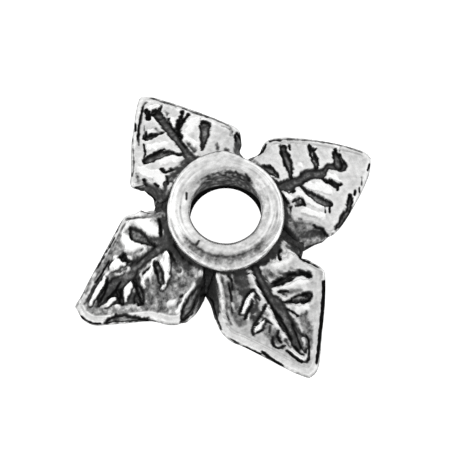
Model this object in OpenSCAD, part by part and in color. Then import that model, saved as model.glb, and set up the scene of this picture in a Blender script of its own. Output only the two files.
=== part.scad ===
// Four-leaf bead cap, cast in one piece from a soft white metal and antiqued.
// A round collar frames the thread hole. Four pointed leaves slope down from it
// in a cross, and the cap stands on their tips with its hollow side down.
// Millimetres. The hole's axis is Z, the tips stand on Z = 0, and the leaves
// point along +X, +Y, -X and -Y, each a little off, as on the hand-cut master.

/* [Cap] */
// Mean distance across the cap between opposite leaf tips
cap_span = 12; // [10:0.5:16]
// Height of the collar's crown over the surface that the leaf tips stand on
cap_h = 3.5; // [3.1:0.1:4.5]

/* [Collar] */
// Diameter of the thread hole
hole_d = 2.5; // [1.6:0.1:2.8]
// Thickness of the round ring that frames the thread hole
ring_t = 0.84; // [0.7:0.02:1]
// Height of the ring's crown over the leaves at their root
ring_rise = 0.75; // [0.6:0.05:1]
// Depth by which the thread hole trims the inside of the ring
hole_trim = 0.06; // [0.03:0.01:0.1]

/* [Seat and notches] */
// Thickness of metal between the leaves at their root and the bead's seat below
seat_t = 0.8; // [0.65:0.05:1.1]
// Distance of metal from the collar's wall to the bottom of a notch
notch_reach = 0.7; // [0.5:0.05:1]
// Drop of the ledge in a notch below the leaves beside it
notch_drop = 0.58; // [0.4:0.02:0.76]
// Thickness of the ledge in a notch
ledge_t = 0.6; // [0.45:0.05:0.8]

/* [Leaves] */
// Width of a leaf across its shoulders
leaf_w = 4.2; // [3.4:0.1:4.6]
// Thickness of a leaf at its tip, measured upright
leaf_t = 0.65; // [0.5:0.05:0.9]
// Arch of a leaf between its root and its tip
leaf_arch = 0.08; // [0:0.02:0.2]
// Width of the smooth rim round a leaf
rim_w = 0.3; // [0.2:0.05:0.4]
// Width over which a leaf's outer edge rolls down
edge_w = 0.13; // [0.08:0.01:0.2]
// Drop of a leaf's outer edge where it has rolled down
edge_drop = 0.17; // [0.1:0.01:0.25]
// Distance by which a leaf's outer wall draws in towards its underside
wall_draft = 0.25; // [0:0.05:0.3]

/* [Veins] */
// Depth of the sunk midrib and side veins
vein_d = 0.22; // [0.12:0.02:0.3]
// Width of a full vein
vein_w = 0.34; // [0.24:0.02:0.44]
// Depth of the leaf's field below its rim
field_d = 0.06; // [0:0.01:0.1]

/* [Hidden] */

// Room by which one cut passes the face that it starts from
past = 0.5;
// Small lengths of the casting: the step from the ring's outside in to the collar's
// wall, the fillets at the wall's foot and the ledge's rim, the seat's width outside
// the wall, and how far a leaf reaches into the wall
wall_step = 0.08;
wall_fillet = 0.08;
rim_fillet = 0.12;
seat_past_wall = 0.2;
leaf_into_wall = 0.35;
// Metal between the hollow under the collar and the leaves' own undersides there
under_lap = 0.14;
// Way over which the underside turns from the round hollow to a flat leaf
under_turn = 1;
// Last stretch of a leaf, over which its end wall starts to draw in
tip_stretch = 0.7;
// Least share of a leaf's width that its underside keeps
under_least = 0.6;

hole_r = hole_d / 2;
ring_r = ring_t / 2;
// Middle line of the ring, trimmed a little by the thread hole
ring_mid_r = hole_r + ring_r - hole_trim;
ring_mid_z = cap_h - ring_r;
// Wall of the collar under the ring, drawn in a little from the ring's outside
collar_r = ring_mid_r + ring_r - wall_step;
// Height of the leaves at the collar's wall, and of the seat below them
root_z = cap_h - ring_rise;
seat_z = root_z - seat_t;
// Fall of the leaves for each millimetre of their way out
leaf_slope = (root_z - leaf_t) / (cap_span / 2 - collar_r);
// Radius of the notches' bottoms and height of their ledge
notch_r = collar_r + notch_reach;
notch_z = root_z - notch_drop - notch_reach * leaf_slope / 2;
ledge_z = notch_z - ledge_t;
// Radius at which the seat ends and the hollow starts to fall
seat_r = collar_r + seat_past_wall;
root_along = collar_r - leaf_into_wall;
half_w = leaf_w / 2;

// One row for each leaf, counter-clockwise from +X.
// turn: degrees counter-clockwise from +X, reach: share of half the mean span,
// left_flank and right_flank: shares of half the leaf's width taken by the slopes
// that fall from the leaf to the notches beside it
TURN = 0;
REACH = 1;
LEFT_FLANK = 2;
RIGHT_FLANK = 3;
LEAVES = [
  [-0.3, 1.000, 0.14, 0.34],
  [91.1, 1.025, 0.22, 0.16],
  [178.6, 0.985, 0.32, 0.14],
  [270.7, 0.990, 0.18, 0.24],
];

// Outlines. One list for each leaf, one row for each station from root to tip. A
// station crosses the leaf as a pair of side veins does, slanting towards the tip.
// mid_along, mid_wide: where it meets the midrib, rib: width of the sunk midrib
// there as a share of a full vein, left_along and left_wide: its end on the left
// outline, right_along and right_wide: its end on the right outline. The along
// columns are shares of the way from root to tip, the wide ones of half the width.
MID_ALONG = 0;
MID_WIDE = 1;
RIB = 2;
LEFT_ALONG = 3;
LEFT_WIDE = 4;
RIGHT_ALONG = 5;
RIGHT_WIDE = 6;
OUTLINES = [
  [
    [0.00, 0.00, 1.0, 0.00, 0.45, 0.00, 0.45],
    [0.08, 0.00, 1.0, 0.07, 0.87, 0.09, 0.99],
    [0.18, 0.02, 1.1, 0.21, 0.89, 0.27, 1.05],
    [0.28, 0.03, 1.1, 0.36, 0.92, 0.44, 0.95],
    [0.38, 0.07, 1.1, 0.46, 0.85, 0.55, 0.82],
    [0.48, 0.08, 1.1, 0.56, 0.77, 0.64, 0.67],
    [0.60, 0.13, 0.8, 0.67, 0.68, 0.73, 0.54],
    [0.70, 0.04, 0.9, 0.76, 0.56, 0.81, 0.38],
    [0.86, 0.06, 0.0, 0.89, 0.36, 0.90, 0.20],
    [1.00, 0.04, 0.0, 1.00, 0.14, 1.00, 0.06],
  ],
  [
    [0.00, 0.00, 1.0, 0.00, 0.45, 0.00, 0.45],
    [0.07, -0.02, 1.0, 0.07, 0.84, 0.10, 0.87],
    [0.14, -0.03, 1.0, 0.18, 0.86, 0.24, 1.00],
    [0.22, -0.03, 1.0, 0.28, 1.05, 0.38, 0.91],
    [0.31, -0.04, 1.0, 0.42, 0.87, 0.48, 0.78],
    [0.43, -0.05, 1.0, 0.54, 0.73, 0.60, 0.65],
    [0.59, -0.05, 1.0, 0.65, 0.61, 0.70, 0.54],
    [0.72, -0.04, 1.0, 0.77, 0.43, 0.80, 0.39],
    [0.87, -0.02, 0.4, 0.90, 0.22, 0.90, 0.26],
    [1.00, 0.00, 0.0, 1.00, 0.08, 1.00, 0.10],
  ],
  [
    [0.00, 0.00, 1.0, 0.00, 0.45, 0.00, 0.45],
    [0.07, -0.02, 1.0, 0.07, 0.96, 0.09, 0.79],
    [0.16, -0.02, 1.0, 0.20, 1.14, 0.23, 0.82],
    [0.25, -0.02, 1.0, 0.32, 1.21, 0.38, 0.83],
    [0.36, 0.00, 1.0, 0.42, 1.13, 0.47, 0.73],
    [0.48, 0.03, 1.4, 0.55, 0.87, 0.57, 0.61],
    [0.60, 0.07, 1.5, 0.65, 0.75, 0.68, 0.47],
    [0.74, 0.12, 1.3, 0.77, 0.59, 0.79, 0.34],
    [0.88, 0.10, 0.3, 0.91, 0.42, 0.90, 0.20],
    [1.00, 0.05, 0.0, 1.00, 0.18, 1.00, 0.06],
  ],
  [
    [0.00, 0.00, 1.0, 0.00, 0.45, 0.00, 0.45],
    [0.07, -0.02, 1.0, 0.10, 0.88, 0.09, 0.89],
    [0.15, -0.03, 1.0, 0.23, 0.83, 0.25, 0.96],
    [0.25, -0.03, 0.9, 0.36, 1.00, 0.40, 0.99],
    [0.33, -0.02, 1.0, 0.44, 0.96, 0.51, 0.92],
    [0.44, 0.00, 1.3, 0.58, 0.79, 0.60, 0.77],
    [0.58, 0.04, 1.6, 0.67, 0.65, 0.70, 0.59],
    [0.73, 0.05, 1.5, 0.78, 0.49, 0.79, 0.44],
    [0.88, 0.03, 0.6, 0.91, 0.29, 0.90, 0.25],
    [1.00, 0.01, 0.0, 1.00, 0.12, 1.00, 0.08],
  ],
];

// Sunk side veins. One list for each leaf, one row for each vein.
// side: 1 is left of the midrib and -1 right, at: station that it runs along,
// from and to: shares of the way from the midrib to the outline, deep: share of a
// full vein's depth
SIDE = 0;
AT = 1;
FROM = 2;
TO = 3;
DEEP = 4;
SIDE_VEINS = [
  [
    [1, 3.00, 0.05, 0.76, 1.0],
    [1, 5.00, 0.10, 0.74, 1.0],
    [1, 7.00, 0.10, 0.70, 1.0],
    [-1, 1.75, 0.25, 0.45, 0.6],
    [-1, 3.25, 0.15, 0.66, 1.0],
    [-1, 5.25, 0.10, 0.55, 0.8],
  ],
  [
    [1, 2.00, 0.30, 0.55, 0.6],
    [1, 4.00, 0.08, 0.74, 1.0],
    [1, 6.25, 0.10, 0.72, 0.9],
    [-1, 3.00, 0.25, 0.78, 1.0],
    [-1, 5.00, 0.10, 0.72, 0.9],
  ],
  [
    [1, 3.50, 0.08, 0.48, 1.0],
    [1, 5.00, 0.10, 0.72, 1.0],
    [1, 6.25, 0.15, 0.60, 0.8],
    [-1, 2.75, 0.15, 0.76, 1.0],
    [-1, 4.50, 0.12, 0.55, 0.8],
  ],
  [
    [1, 3.25, 0.10, 0.82, 1.0],
    [1, 5.00, 0.15, 0.76, 1.0],
    [-1, 3.00, 0.20, 0.70, 0.8],
    [-1, 4.50, 0.20, 0.72, 0.8],
    [-1, 6.25, 0.20, 0.60, 1.0],
  ],
];

// Fineness of a leaf: rows in each stretch between two stations, and columns on
// each side of the midrib
STRETCH_ROWS = 4;
SIDE_COLUMNS = 10;

LEAF_ROWS = STRETCH_ROWS * (len(OUTLINES[0]) - 1);
TOP_LAST = 2 * SIDE_COLUMNS + 2;
// The underside uses only these columns of the top
UNDER_COLUMNS = [0, 6, 11, 16, TOP_LAST];
UNDER_LAST = len(UNDER_COLUMNS) - 1;

// An even step from 0 to 1 that starts and ends gently
function ease(x) = let (c = min(1, max(0, x))) c * c * (3 - 2 * c);

// A row of a table, with the first and last ones repeated past the ends
function table_row(table, k) = table[min(len(table) - 1, max(0, k))];

// Smooth curve through the rows of a table at share s of its length
function through(table, s) =
  let (
    x = s * (len(table) - 1),
    k = min(len(table) - 2, floor(x)),
    f = x - k,
    a = table_row(table, k - 1),
    b = table_row(table, k),
    c = table_row(table, k + 1),
    d = table_row(table, k + 2)
  )
  (2 * b + (c - a) * f + (2 * a - 5 * b + 4 * c - d) * f * f + (3 * b - a - 3 * c + d) * f * f * f) / 2;

function reach_of(k) = LEAVES[k][REACH] * cap_span / 2;
function along_of(k, share) = root_along + share * (reach_of(k) - root_along);

// Height of the leaf's face, before its relief
function face_z(k, along) =
  let (fall = (reach_of(k) - along) / (reach_of(k) - collar_r))
  leaf_t + (root_z - leaf_t) * fall + leaf_arch * sin(180 * min(1, max(0, fall)));

// Height of the hollow under the collar's wall and ledge
function wall_under_z(r) = ledge_z + (seat_z - ledge_z) * min(1, (notch_r - r) / (notch_r - seat_r));

// Height of the leaf's underside at a point. Round the ledge it follows the round
// hollow, and further out it falls straight to the tip.
function leaf_under_z(k, p) =
  let (
    r = norm(p),
    way_out = r + (p[0] - r) * ease((r - notch_r) / under_turn),
    fall = max(0, (reach_of(k) - way_out) / (reach_of(k) - notch_r))
  )
  r < notch_r ? wall_under_z(r) + under_lap : (ledge_z + under_lap) * fall;

// Width of the slope at a leaf's outer edge: wide beside a notch, narrow further out
function flank_w(share, neck_share) = edge_w + neck_share * half_w * (1 - ease(share / 0.3));

// Drop at the foot of that slope, down to the notch's ledge at the root
function flank_drop(k, share) =
  let (beside_notch = face_z(k, collar_r + notch_reach * 0.8) - notch_z)
  edge_drop + (beside_notch - edge_drop) * (1 - ease((share - 0.04) / 0.28));

// How deep the sunk midrib is at a distance from its middle, from 0 to 1
function rib_share(rib, across) = rib < 0.05 ? 0 : 1 - ease(across / (rib * vein_w * 0.75) - 0.15);

// How deep the side veins are on row i, at share out of the way to the outline
function side_share(k, i, side, out) =
  max([
    0,
    for (v = SIDE_VEINS[k])
      if (v[SIDE] == side)
        let (
          row_gap = abs(i - round(v[AT] * STRETCH_ROWS)),
          ends = ease((out - v[FROM] + 0.05) / 0.1) * ease((v[TO] + 0.05 - out) / 0.1)
        )
        v[DEEP] * ends * max(0, 1 - row_gap * 0.6)
  ]);

// Station of a leaf at share s of its length: where it meets the midrib, both ends
// on the outline, and the width of the midrib
function station(k, s) =
  let (o = through(OUTLINES[k], s))
  [
    [along_of(k, o[MID_ALONG]), o[MID_WIDE] * half_w],
    [along_of(k, o[LEFT_ALONG]), o[LEFT_WIDE] * half_w],
    [along_of(k, o[RIGHT_ALONG]), -o[RIGHT_WIDE] * half_w],
    o[RIB],
  ];

// A point of the leaf's top. Column 0 is the right foot and TOP_LAST the left one.
function top_point(k, i, j) =
  let (
    s = i / LEAF_ROWS,
    line = station(k, s),
    left = j > SIDE_COLUMNS + 1,
    foot = j == 0 || j == TOP_LAST,
    end = left ? line[1] : line[2],
    width = norm(end - line[0]),
    flank = flank_w(s, LEAVES[k][left ? LEFT_FLANK : RIGHT_FLANK]),
    slope_share = min(0.5, flank / max(width, edge_w)),
    out = abs(j - SIDE_COLUMNS - 1) / SIDE_COLUMNS,
    p = line[0] + (foot ? 1 : out * (1 - slope_share)) * (end - line[0]),
    tip_gap = reach_of(k) - p[0],
    rim_gap = min((1 - out) * (1 - slope_share) * width, tip_gap - edge_w),
    inside = ease(rim_gap / rim_w * 1.6 - 0.9),
    vein = max(rib_share(line[3], out * width), side_share(k, i, left ? 1 : -1, out)),
    relief = inside * max(field_d, vein_d * vein),
    tip_roll = edge_drop * (1 - ease(tip_gap / edge_w))
  )
  [p[0], p[1], face_z(k, p[0]) - (foot ? flank_drop(k, s) : max(relief, tip_roll))];

// A point of the leaf's underside, under the top's column j. The wall draws in
// towards it, at the sides and, over the last stretch, at the tip.
function under_point(k, i, j) =
  let (
    t = top_point(k, i, j),
    middle = station(k, i / LEAF_ROWS)[0],
    out = [t[0], t[1]] - middle,
    kept = max(under_least, 1 - wall_draft / max(norm(out), wall_draft)),
    p = middle + kept * out,
    at_tip = ease((t[0] - reach_of(k) + tip_stretch) / tip_stretch)
  )
  [p[0] - wall_draft * at_tip, p[1], i == LEAF_ROWS ? 0 : leaf_under_z(k, p)];

function top_index(i, j) = i * (TOP_LAST + 1) + j;
function under_index(i, m) = (LEAF_ROWS + 1) * (TOP_LAST + 1) + i * (UNDER_LAST + 1) + m;

// Two triangles for the four corners of a patch
function patch(a, b, c, d) = [[a, b, c], [a, c, d]];

// Triangles that close a leaf's end at row i, seen from the side that turned_out says
function end_faces(i, turned_out) =
  [
    for (m = [0:UNDER_LAST - 1])
      for (t = concat(
        [
          for (j = [UNDER_COLUMNS[m]:UNDER_COLUMNS[m + 1] - 1])
            [under_index(i, m), top_index(i, j), top_index(i, j + 1)]
        ],
        [[under_index(i, m), top_index(i, UNDER_COLUMNS[m + 1]), under_index(i, m + 1)]]
      ))
        turned_out ? t : [t[0], t[2], t[1]]
  ];

LEAF_FACES = concat(
  [
    for (i = [0:LEAF_ROWS - 1])
      for (j = [0:TOP_LAST - 1])
        for (t = patch(
          top_index(i, j),
          top_index(i, j + 1),
          top_index(i + 1, j + 1),
          top_index(i + 1, j)
        )) t
  ],
  [
    for (i = [0:LEAF_ROWS - 1])
      for (m = [0:UNDER_LAST - 1])
        for (t = patch(
          under_index(i, m),
          under_index(i + 1, m),
          under_index(i + 1, m + 1),
          under_index(i, m + 1)
        )) t
  ],
  [
    for (i = [0:LEAF_ROWS - 1])
      for (t = patch(
        top_index(i, 0),
        top_index(i + 1, 0),
        under_index(i + 1, 0),
        under_index(i, 0)
      )) t
  ],
  [
    for (i = [0:LEAF_ROWS - 1])
      for (t = patch(
        top_index(i, TOP_LAST),
        under_index(i, UNDER_LAST),
        under_index(i + 1, UNDER_LAST),
        top_index(i + 1, TOP_LAST)
      )) t
  ],
  end_faces(0, false),
  end_faces(LEAF_ROWS, true)
);

// One leaf with its rim, lobes and sunk veins, hollow below
module leaf(k) {
  points = concat(
    [for (i = [0:LEAF_ROWS]) for (j = [0:TOP_LAST]) top_point(k, i, j)],
    [for (i = [0:LEAF_ROWS]) for (j = UNDER_COLUMNS) under_point(k, i, j)]
  );
  rotate([0, 0, LEAVES[k][TURN]])
    polyhedron(points = points, faces = LEAF_FACES, convexity = 8);
}

// The round ring at the collar's top
module ring() {
  translate([0, 0, ring_mid_z])
    rotate_extrude($fn = 96)
      translate([ring_mid_r, 0])
        circle(r = ring_r, $fn = 48);
}

// The collar's wall with the bead's seat under it, and the ledge that shows as the
// dark valley between two leaves
module collar_wall() {
  inner = hole_r - past / 2;
  rotate_extrude($fn = 96)
    polygon([
      [inner, seat_z],
      [seat_r, seat_z],
      [notch_r - rim_fillet / 2, ledge_z],
      [notch_r, ledge_z + rim_fillet / 2],
      [notch_r, notch_z - rim_fillet],
      [notch_r - rim_fillet, notch_z],
      [collar_r + wall_fillet, root_z - 3 * wall_fillet],
      [collar_r, root_z - wall_fillet],
      [collar_r, ring_mid_z],
      [inner, ring_mid_z],
    ]);
}

module thread_hole() {
  translate([0, 0, seat_z - past])
    cylinder(r = hole_r, h = cap_h - seat_z + 2 * past, $fn = 96);
}

// The whole casting, one solid
module bead_cap() {
  color("silver")
    difference() {
      union() {
        ring();
        collar_wall();
        for (k = [0:len(LEAVES) - 1]) leaf(k);
      }
      thread_hole();
    }
}

bead_cap();
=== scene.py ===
# %% [markdown]
# # A leaf bead cap in antiqued white metal
#
# A bead cap is a small casting that sits on the end of a bead. This one has a round
# collar that frames the thread hole, and four leaves that slope down from it in a
# cross. After casting, such a cap is blackened all over and then rubbed back, so that
# the high places shine and the sunk veins stay black.
#
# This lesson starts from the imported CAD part, which gives the size and the place of
# everything. It then builds the same casting again, fine enough for the relief of the
# leaves, and gives it the worn, blackened finish.

# %% Load the CAD part
import math

import bpy
import numpy as np
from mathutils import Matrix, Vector


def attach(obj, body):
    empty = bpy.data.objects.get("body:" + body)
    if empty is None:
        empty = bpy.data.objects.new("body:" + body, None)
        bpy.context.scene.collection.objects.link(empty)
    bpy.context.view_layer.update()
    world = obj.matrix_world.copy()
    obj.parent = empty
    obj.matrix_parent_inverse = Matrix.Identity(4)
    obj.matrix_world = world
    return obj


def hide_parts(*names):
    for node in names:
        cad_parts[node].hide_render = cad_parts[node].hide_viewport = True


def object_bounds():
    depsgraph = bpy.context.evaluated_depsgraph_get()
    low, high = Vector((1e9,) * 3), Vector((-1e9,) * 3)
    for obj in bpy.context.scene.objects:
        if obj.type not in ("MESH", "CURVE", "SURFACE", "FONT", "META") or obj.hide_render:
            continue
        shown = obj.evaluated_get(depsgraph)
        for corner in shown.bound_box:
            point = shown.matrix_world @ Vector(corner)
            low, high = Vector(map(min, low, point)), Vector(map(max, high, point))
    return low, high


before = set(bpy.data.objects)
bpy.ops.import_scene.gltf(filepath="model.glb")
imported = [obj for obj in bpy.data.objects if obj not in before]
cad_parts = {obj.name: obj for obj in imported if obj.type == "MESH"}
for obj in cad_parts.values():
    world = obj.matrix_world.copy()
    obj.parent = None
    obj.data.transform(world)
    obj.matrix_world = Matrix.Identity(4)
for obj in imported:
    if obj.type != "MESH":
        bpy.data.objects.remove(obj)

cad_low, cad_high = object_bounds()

MM = 0.001
cad_size = [round((high - low) / MM, 2) for low, high in zip(cad_low, cad_high)]
print("CAD part, millimetres:", cad_size)

# %% [markdown]
# ## Camera
#
# The photo was taken from far away with a long lens, because the thread hole shows as
# a clean ellipse. Its height is 0.94 of its width, so the camera looks down at 70
# degrees. One leaf points 29 degrees above the picture's right, which gives the turn
# round the upright axis. A 200 mm lens keeps the lines as parallel as the photo's.

# %% Place the camera
CAMERA_TURN = math.radians(-29)
CAMERA_RISE = math.radians(70)
FRAME_WIDTH = 15.91   # what the picture's width spans at the part, in millimetres
AIM = Vector((0.01, 0, 1.68))  # right, away and up from the hole's axis at the floor

towards_camera = Vector((
    math.sin(CAMERA_TURN) * math.cos(CAMERA_RISE),
    -math.cos(CAMERA_TURN) * math.cos(CAMERA_RISE),
    math.sin(CAMERA_RISE),
))
picture_right = Vector((math.cos(CAMERA_TURN), math.sin(CAMERA_TURN), 0))
picture_away = Vector((-math.sin(CAMERA_TURN), math.cos(CAMERA_TURN), 0))

lens = bpy.data.cameras.new("studio_camera")
lens.lens = 200
lens.sensor_width = 36
distance = FRAME_WIDTH * lens.lens / lens.sensor_width
lens.clip_start = 0.2 * distance * MM
lens.clip_end = 20 * distance * MM
camera = bpy.data.objects.new("studio_camera", lens)
bpy.context.scene.collection.objects.link(camera)
aim = picture_right * AIM.x + picture_away * AIM.y + Vector((0, 0, AIM.z))
camera.location = (aim + towards_camera * distance) * MM
camera.rotation_euler = towards_camera.to_track_quat("Z", "Y").to_euler()
bpy.context.scene.camera = camera
print("camera at", [round(c, 4) for c in camera.location])

# %% [markdown]
# ## Sizes of the casting
#
# These are the CAD part's heights and radii, in millimetres, worked out from a few that
# drive the rest. The leaves are inclined plates. Each starts inside the collar's wall and
# ends in a tip whose underside stands on the floor.

# %% Name the sizes
CROWN_Z = round(cad_high[2] / MM, 2)  # top of the ring
HOLE_R = 1.25         # thread hole
RING_R = 0.42         # half the ring's thickness
RING_MID_R = 1.61     # middle line of the round ring
WALL_STEP = 0.08      # from the ring's outside in to the collar's wall
RING_RISE = 0.75      # the ring's top over the leaves at the wall
SEAT_T = 0.8          # metal between the leaves at the wall and the bead's seat
NOTCH_REACH = 0.7     # metal from the wall to the middle of the ledge's edge
LEDGE_Z = 1.99        # upper edge of the ledge in a notch
LEDGE_LOW_Z = 1.39    # its lower edge
TIP_T = 0.65          # thickness of a leaf's tip
ARCH = 0.08           # how far a leaf bulges between root and tip
ROOT_AT = 1.55        # a leaf starts this far from the axis, inside the wall

RING_Z = CROWN_Z - RING_R
WALL_R = RING_MID_R - WALL_STEP + RING_R
ROOT_Z = CROWN_Z - RING_RISE
SEAT_Z = ROOT_Z - SEAT_T
LEDGE_R = WALL_R + NOTCH_REACH
print("crown", CROWN_Z, "mm, ring outside", round(2 * (RING_MID_R + RING_R), 2), "mm")

# %% [markdown]
# ## Soft steps, strokes and unevenness
#
# Work done by hand has no hard borders and no even ones. So the relief and the finish
# are made of a few soft things: a step that starts and ends gently, a smooth path
# through points, the distance to such a path, and seeded noise that makes it uneven.

# %% Make the drawing helpers
def ease(x):
    """An even step from 0 to 1 that starts and ends gently."""
    x = np.clip(x, 0, 1)
    return x * x * (3 - 2 * x)


def smooth_path(points, step=0.02):
    """A smooth curve through the points, as many short stretches."""
    p = np.array(points, float)
    p = np.vstack([2 * p[0] - p[1], p, 2 * p[-1] - p[-2]])
    out = []
    for a, b, c, d in zip(p[:-3], p[1:-2], p[2:-1], p[3:]):
        n = max(2, int(np.linalg.norm(c[:2] - b[:2]) / step))
        f = np.arange(n)[:, None] / n
        square = (2 * a - 5 * b + 4 * c - d) * f**2
        cube = (3 * b - a - 3 * c + d) * f**3
        out.append(0.5 * (2 * b + (c - a) * f + square + cube))
    out.append(p[-2:-1])
    return np.vstack(out)


def gap_to_path(spots, path):
    """Distance from each spot to a path. A third column in the path is its half width there."""
    best = np.full(len(spots), 99.0)
    for a, b in zip(path[:-1], path[1:]):
        way = b[:2] - a[:2]
        share = np.clip((spots - a[:2]) @ way / max(way @ way, 1e-9), 0, 1)
        gap = np.linalg.norm(spots - a[:2] - share[:, None] * way, axis=1)
        if len(a) > 2:
            gap = gap - (a[2] + (b[2] - a[2]) * share)
        best = np.minimum(best, gap)
    return best


def hand_noise(spots, cell, seed):
    """Soft unevenness between -1 and 1, with lumps about one cell wide."""
    grid = np.random.default_rng(seed).uniform(-1, 1, (64, 64))
    at = spots / cell + 20
    low = np.floor(at).astype(int)
    f = ease(at - low)
    x, y = low[:, 0] % 64, low[:, 1] % 64
    x1, y1 = (x + 1) % 64, (y + 1) % 64
    near = grid[x, y] * (1 - f[:, 0]) + grid[x1, y] * f[:, 0]
    far = grid[x, y1] * (1 - f[:, 0]) + grid[x1, y1] * f[:, 0]
    return near * (1 - f[:, 1]) + far * f[:, 1]


print("a step of 0.3 becomes", round(float(ease(0.3)), 3))

# %% [markdown]
# ## Charts of the four leaves
#
# Each leaf was cut by hand in the master, so no two are alike. A chart gives one leaf as
# it was read off the photo, in millimetres. In each pair, the first number runs
# along the leaf from the hole's axis and the second to its left. The right edge and the
# right shoulder are given as distances to the right.
#
# A mark is a stroke, with half its width as third number. A row of marks names their
# kind and gives one stroke or more. They are laid on in the order of the list, so a
# later one cuts through an earlier. Each kind has its depth, its finish from 0 for black
# to 1 for bright, and the look of its side.

# %% Name the kinds of marks
# The kinds mix film, rubbed metal and painted light. Veins, ribs, the black marks and the dark ones hold
# black film in the hollows, and the black and dark ones are also painted shade along walls and flanks. The
# dull marks are painted soft shade, the grey ones are painted shade along edges and painted reflections
# inside veins, the pale ones are painted highlights, and lobes and ridges are high places rubbed bright,
# with painted highlight on them.
# columns: depth, finish, softness, raggedness, and how strong the painted shade along the side is inside
# and outside
KINDS = {
    "vein": (0.13, 0.41, 0.05, 1, 1, 0),
    "rib": (0.08, 0.32, 0.06, 0.8, 0.9, 0),
    "black": (0.05, 0.0, 0.04, 0.5, 0, 0),
    "grey": (0.02, 0.4, 0.05, 0.5, 0, 0),
    "dark": (0.06, 0.27, 0.1, 1, 0, 0),
    "dull": (0.02, 0.46, 0.12, 1, 0, 0),
    "pale": (0.0, 0.82, 0.08, 1, 0, 0),
    "lobe": (-0.05, 0.94, 0.13, 1.2, 0, 0),
    "ridge": (-0.07, 1.0, 0.05, 0.8, 0, 0.9),
}

LEAVES = {}  # a chart for each leaf, in the cells that follow
print("kinds of marks:", ", ".join(KINDS))

# %% [markdown]
# ## The right-hand leaf
#
# This leaf points up to the right in the photo. Its midrib is a broad channel that
# wanders, with four side veins above it and three below. Its lower flank falls steeply to
# the notch and is dark with painted shade.

# %% Chart the right-hand leaf
# columns: along, aside
LEAVES["east"] = {
    "turn": -0.3,
    "field": 0.78,
    "left_edge": [(1.55, 1.41), (1.87, 1.8), (2.32, 1.78), (2.82, 1.97), (3.41, 1.88), (4.26, 1.53),
                  (4.93, 1.18), (5.53, 0.81), (5.88, 0.56), (6.04, 0.32)],
    "right_edge": [(1.55, 1.55), (1.8, 2.09), (2.43, 2.13), (3.03, 2.2), (3.59, 1.97), (4.33, 1.48),
                   (5.07, 0.93), (5.6, 0.46), (5.88, 0.12), (6.04, -0.14)],
    "left_shoulder": [(1.55, 1.2), (1.83, 1.3), (2.11, 1.44), (2.39, 1.62), (2.57, 1.78)],
    "right_shoulder": [(1.55, 1.06), (1.97, 1.23), (2.46, 1.41), (2.82, 1.69), (2.94, 2.11)],
}
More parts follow.
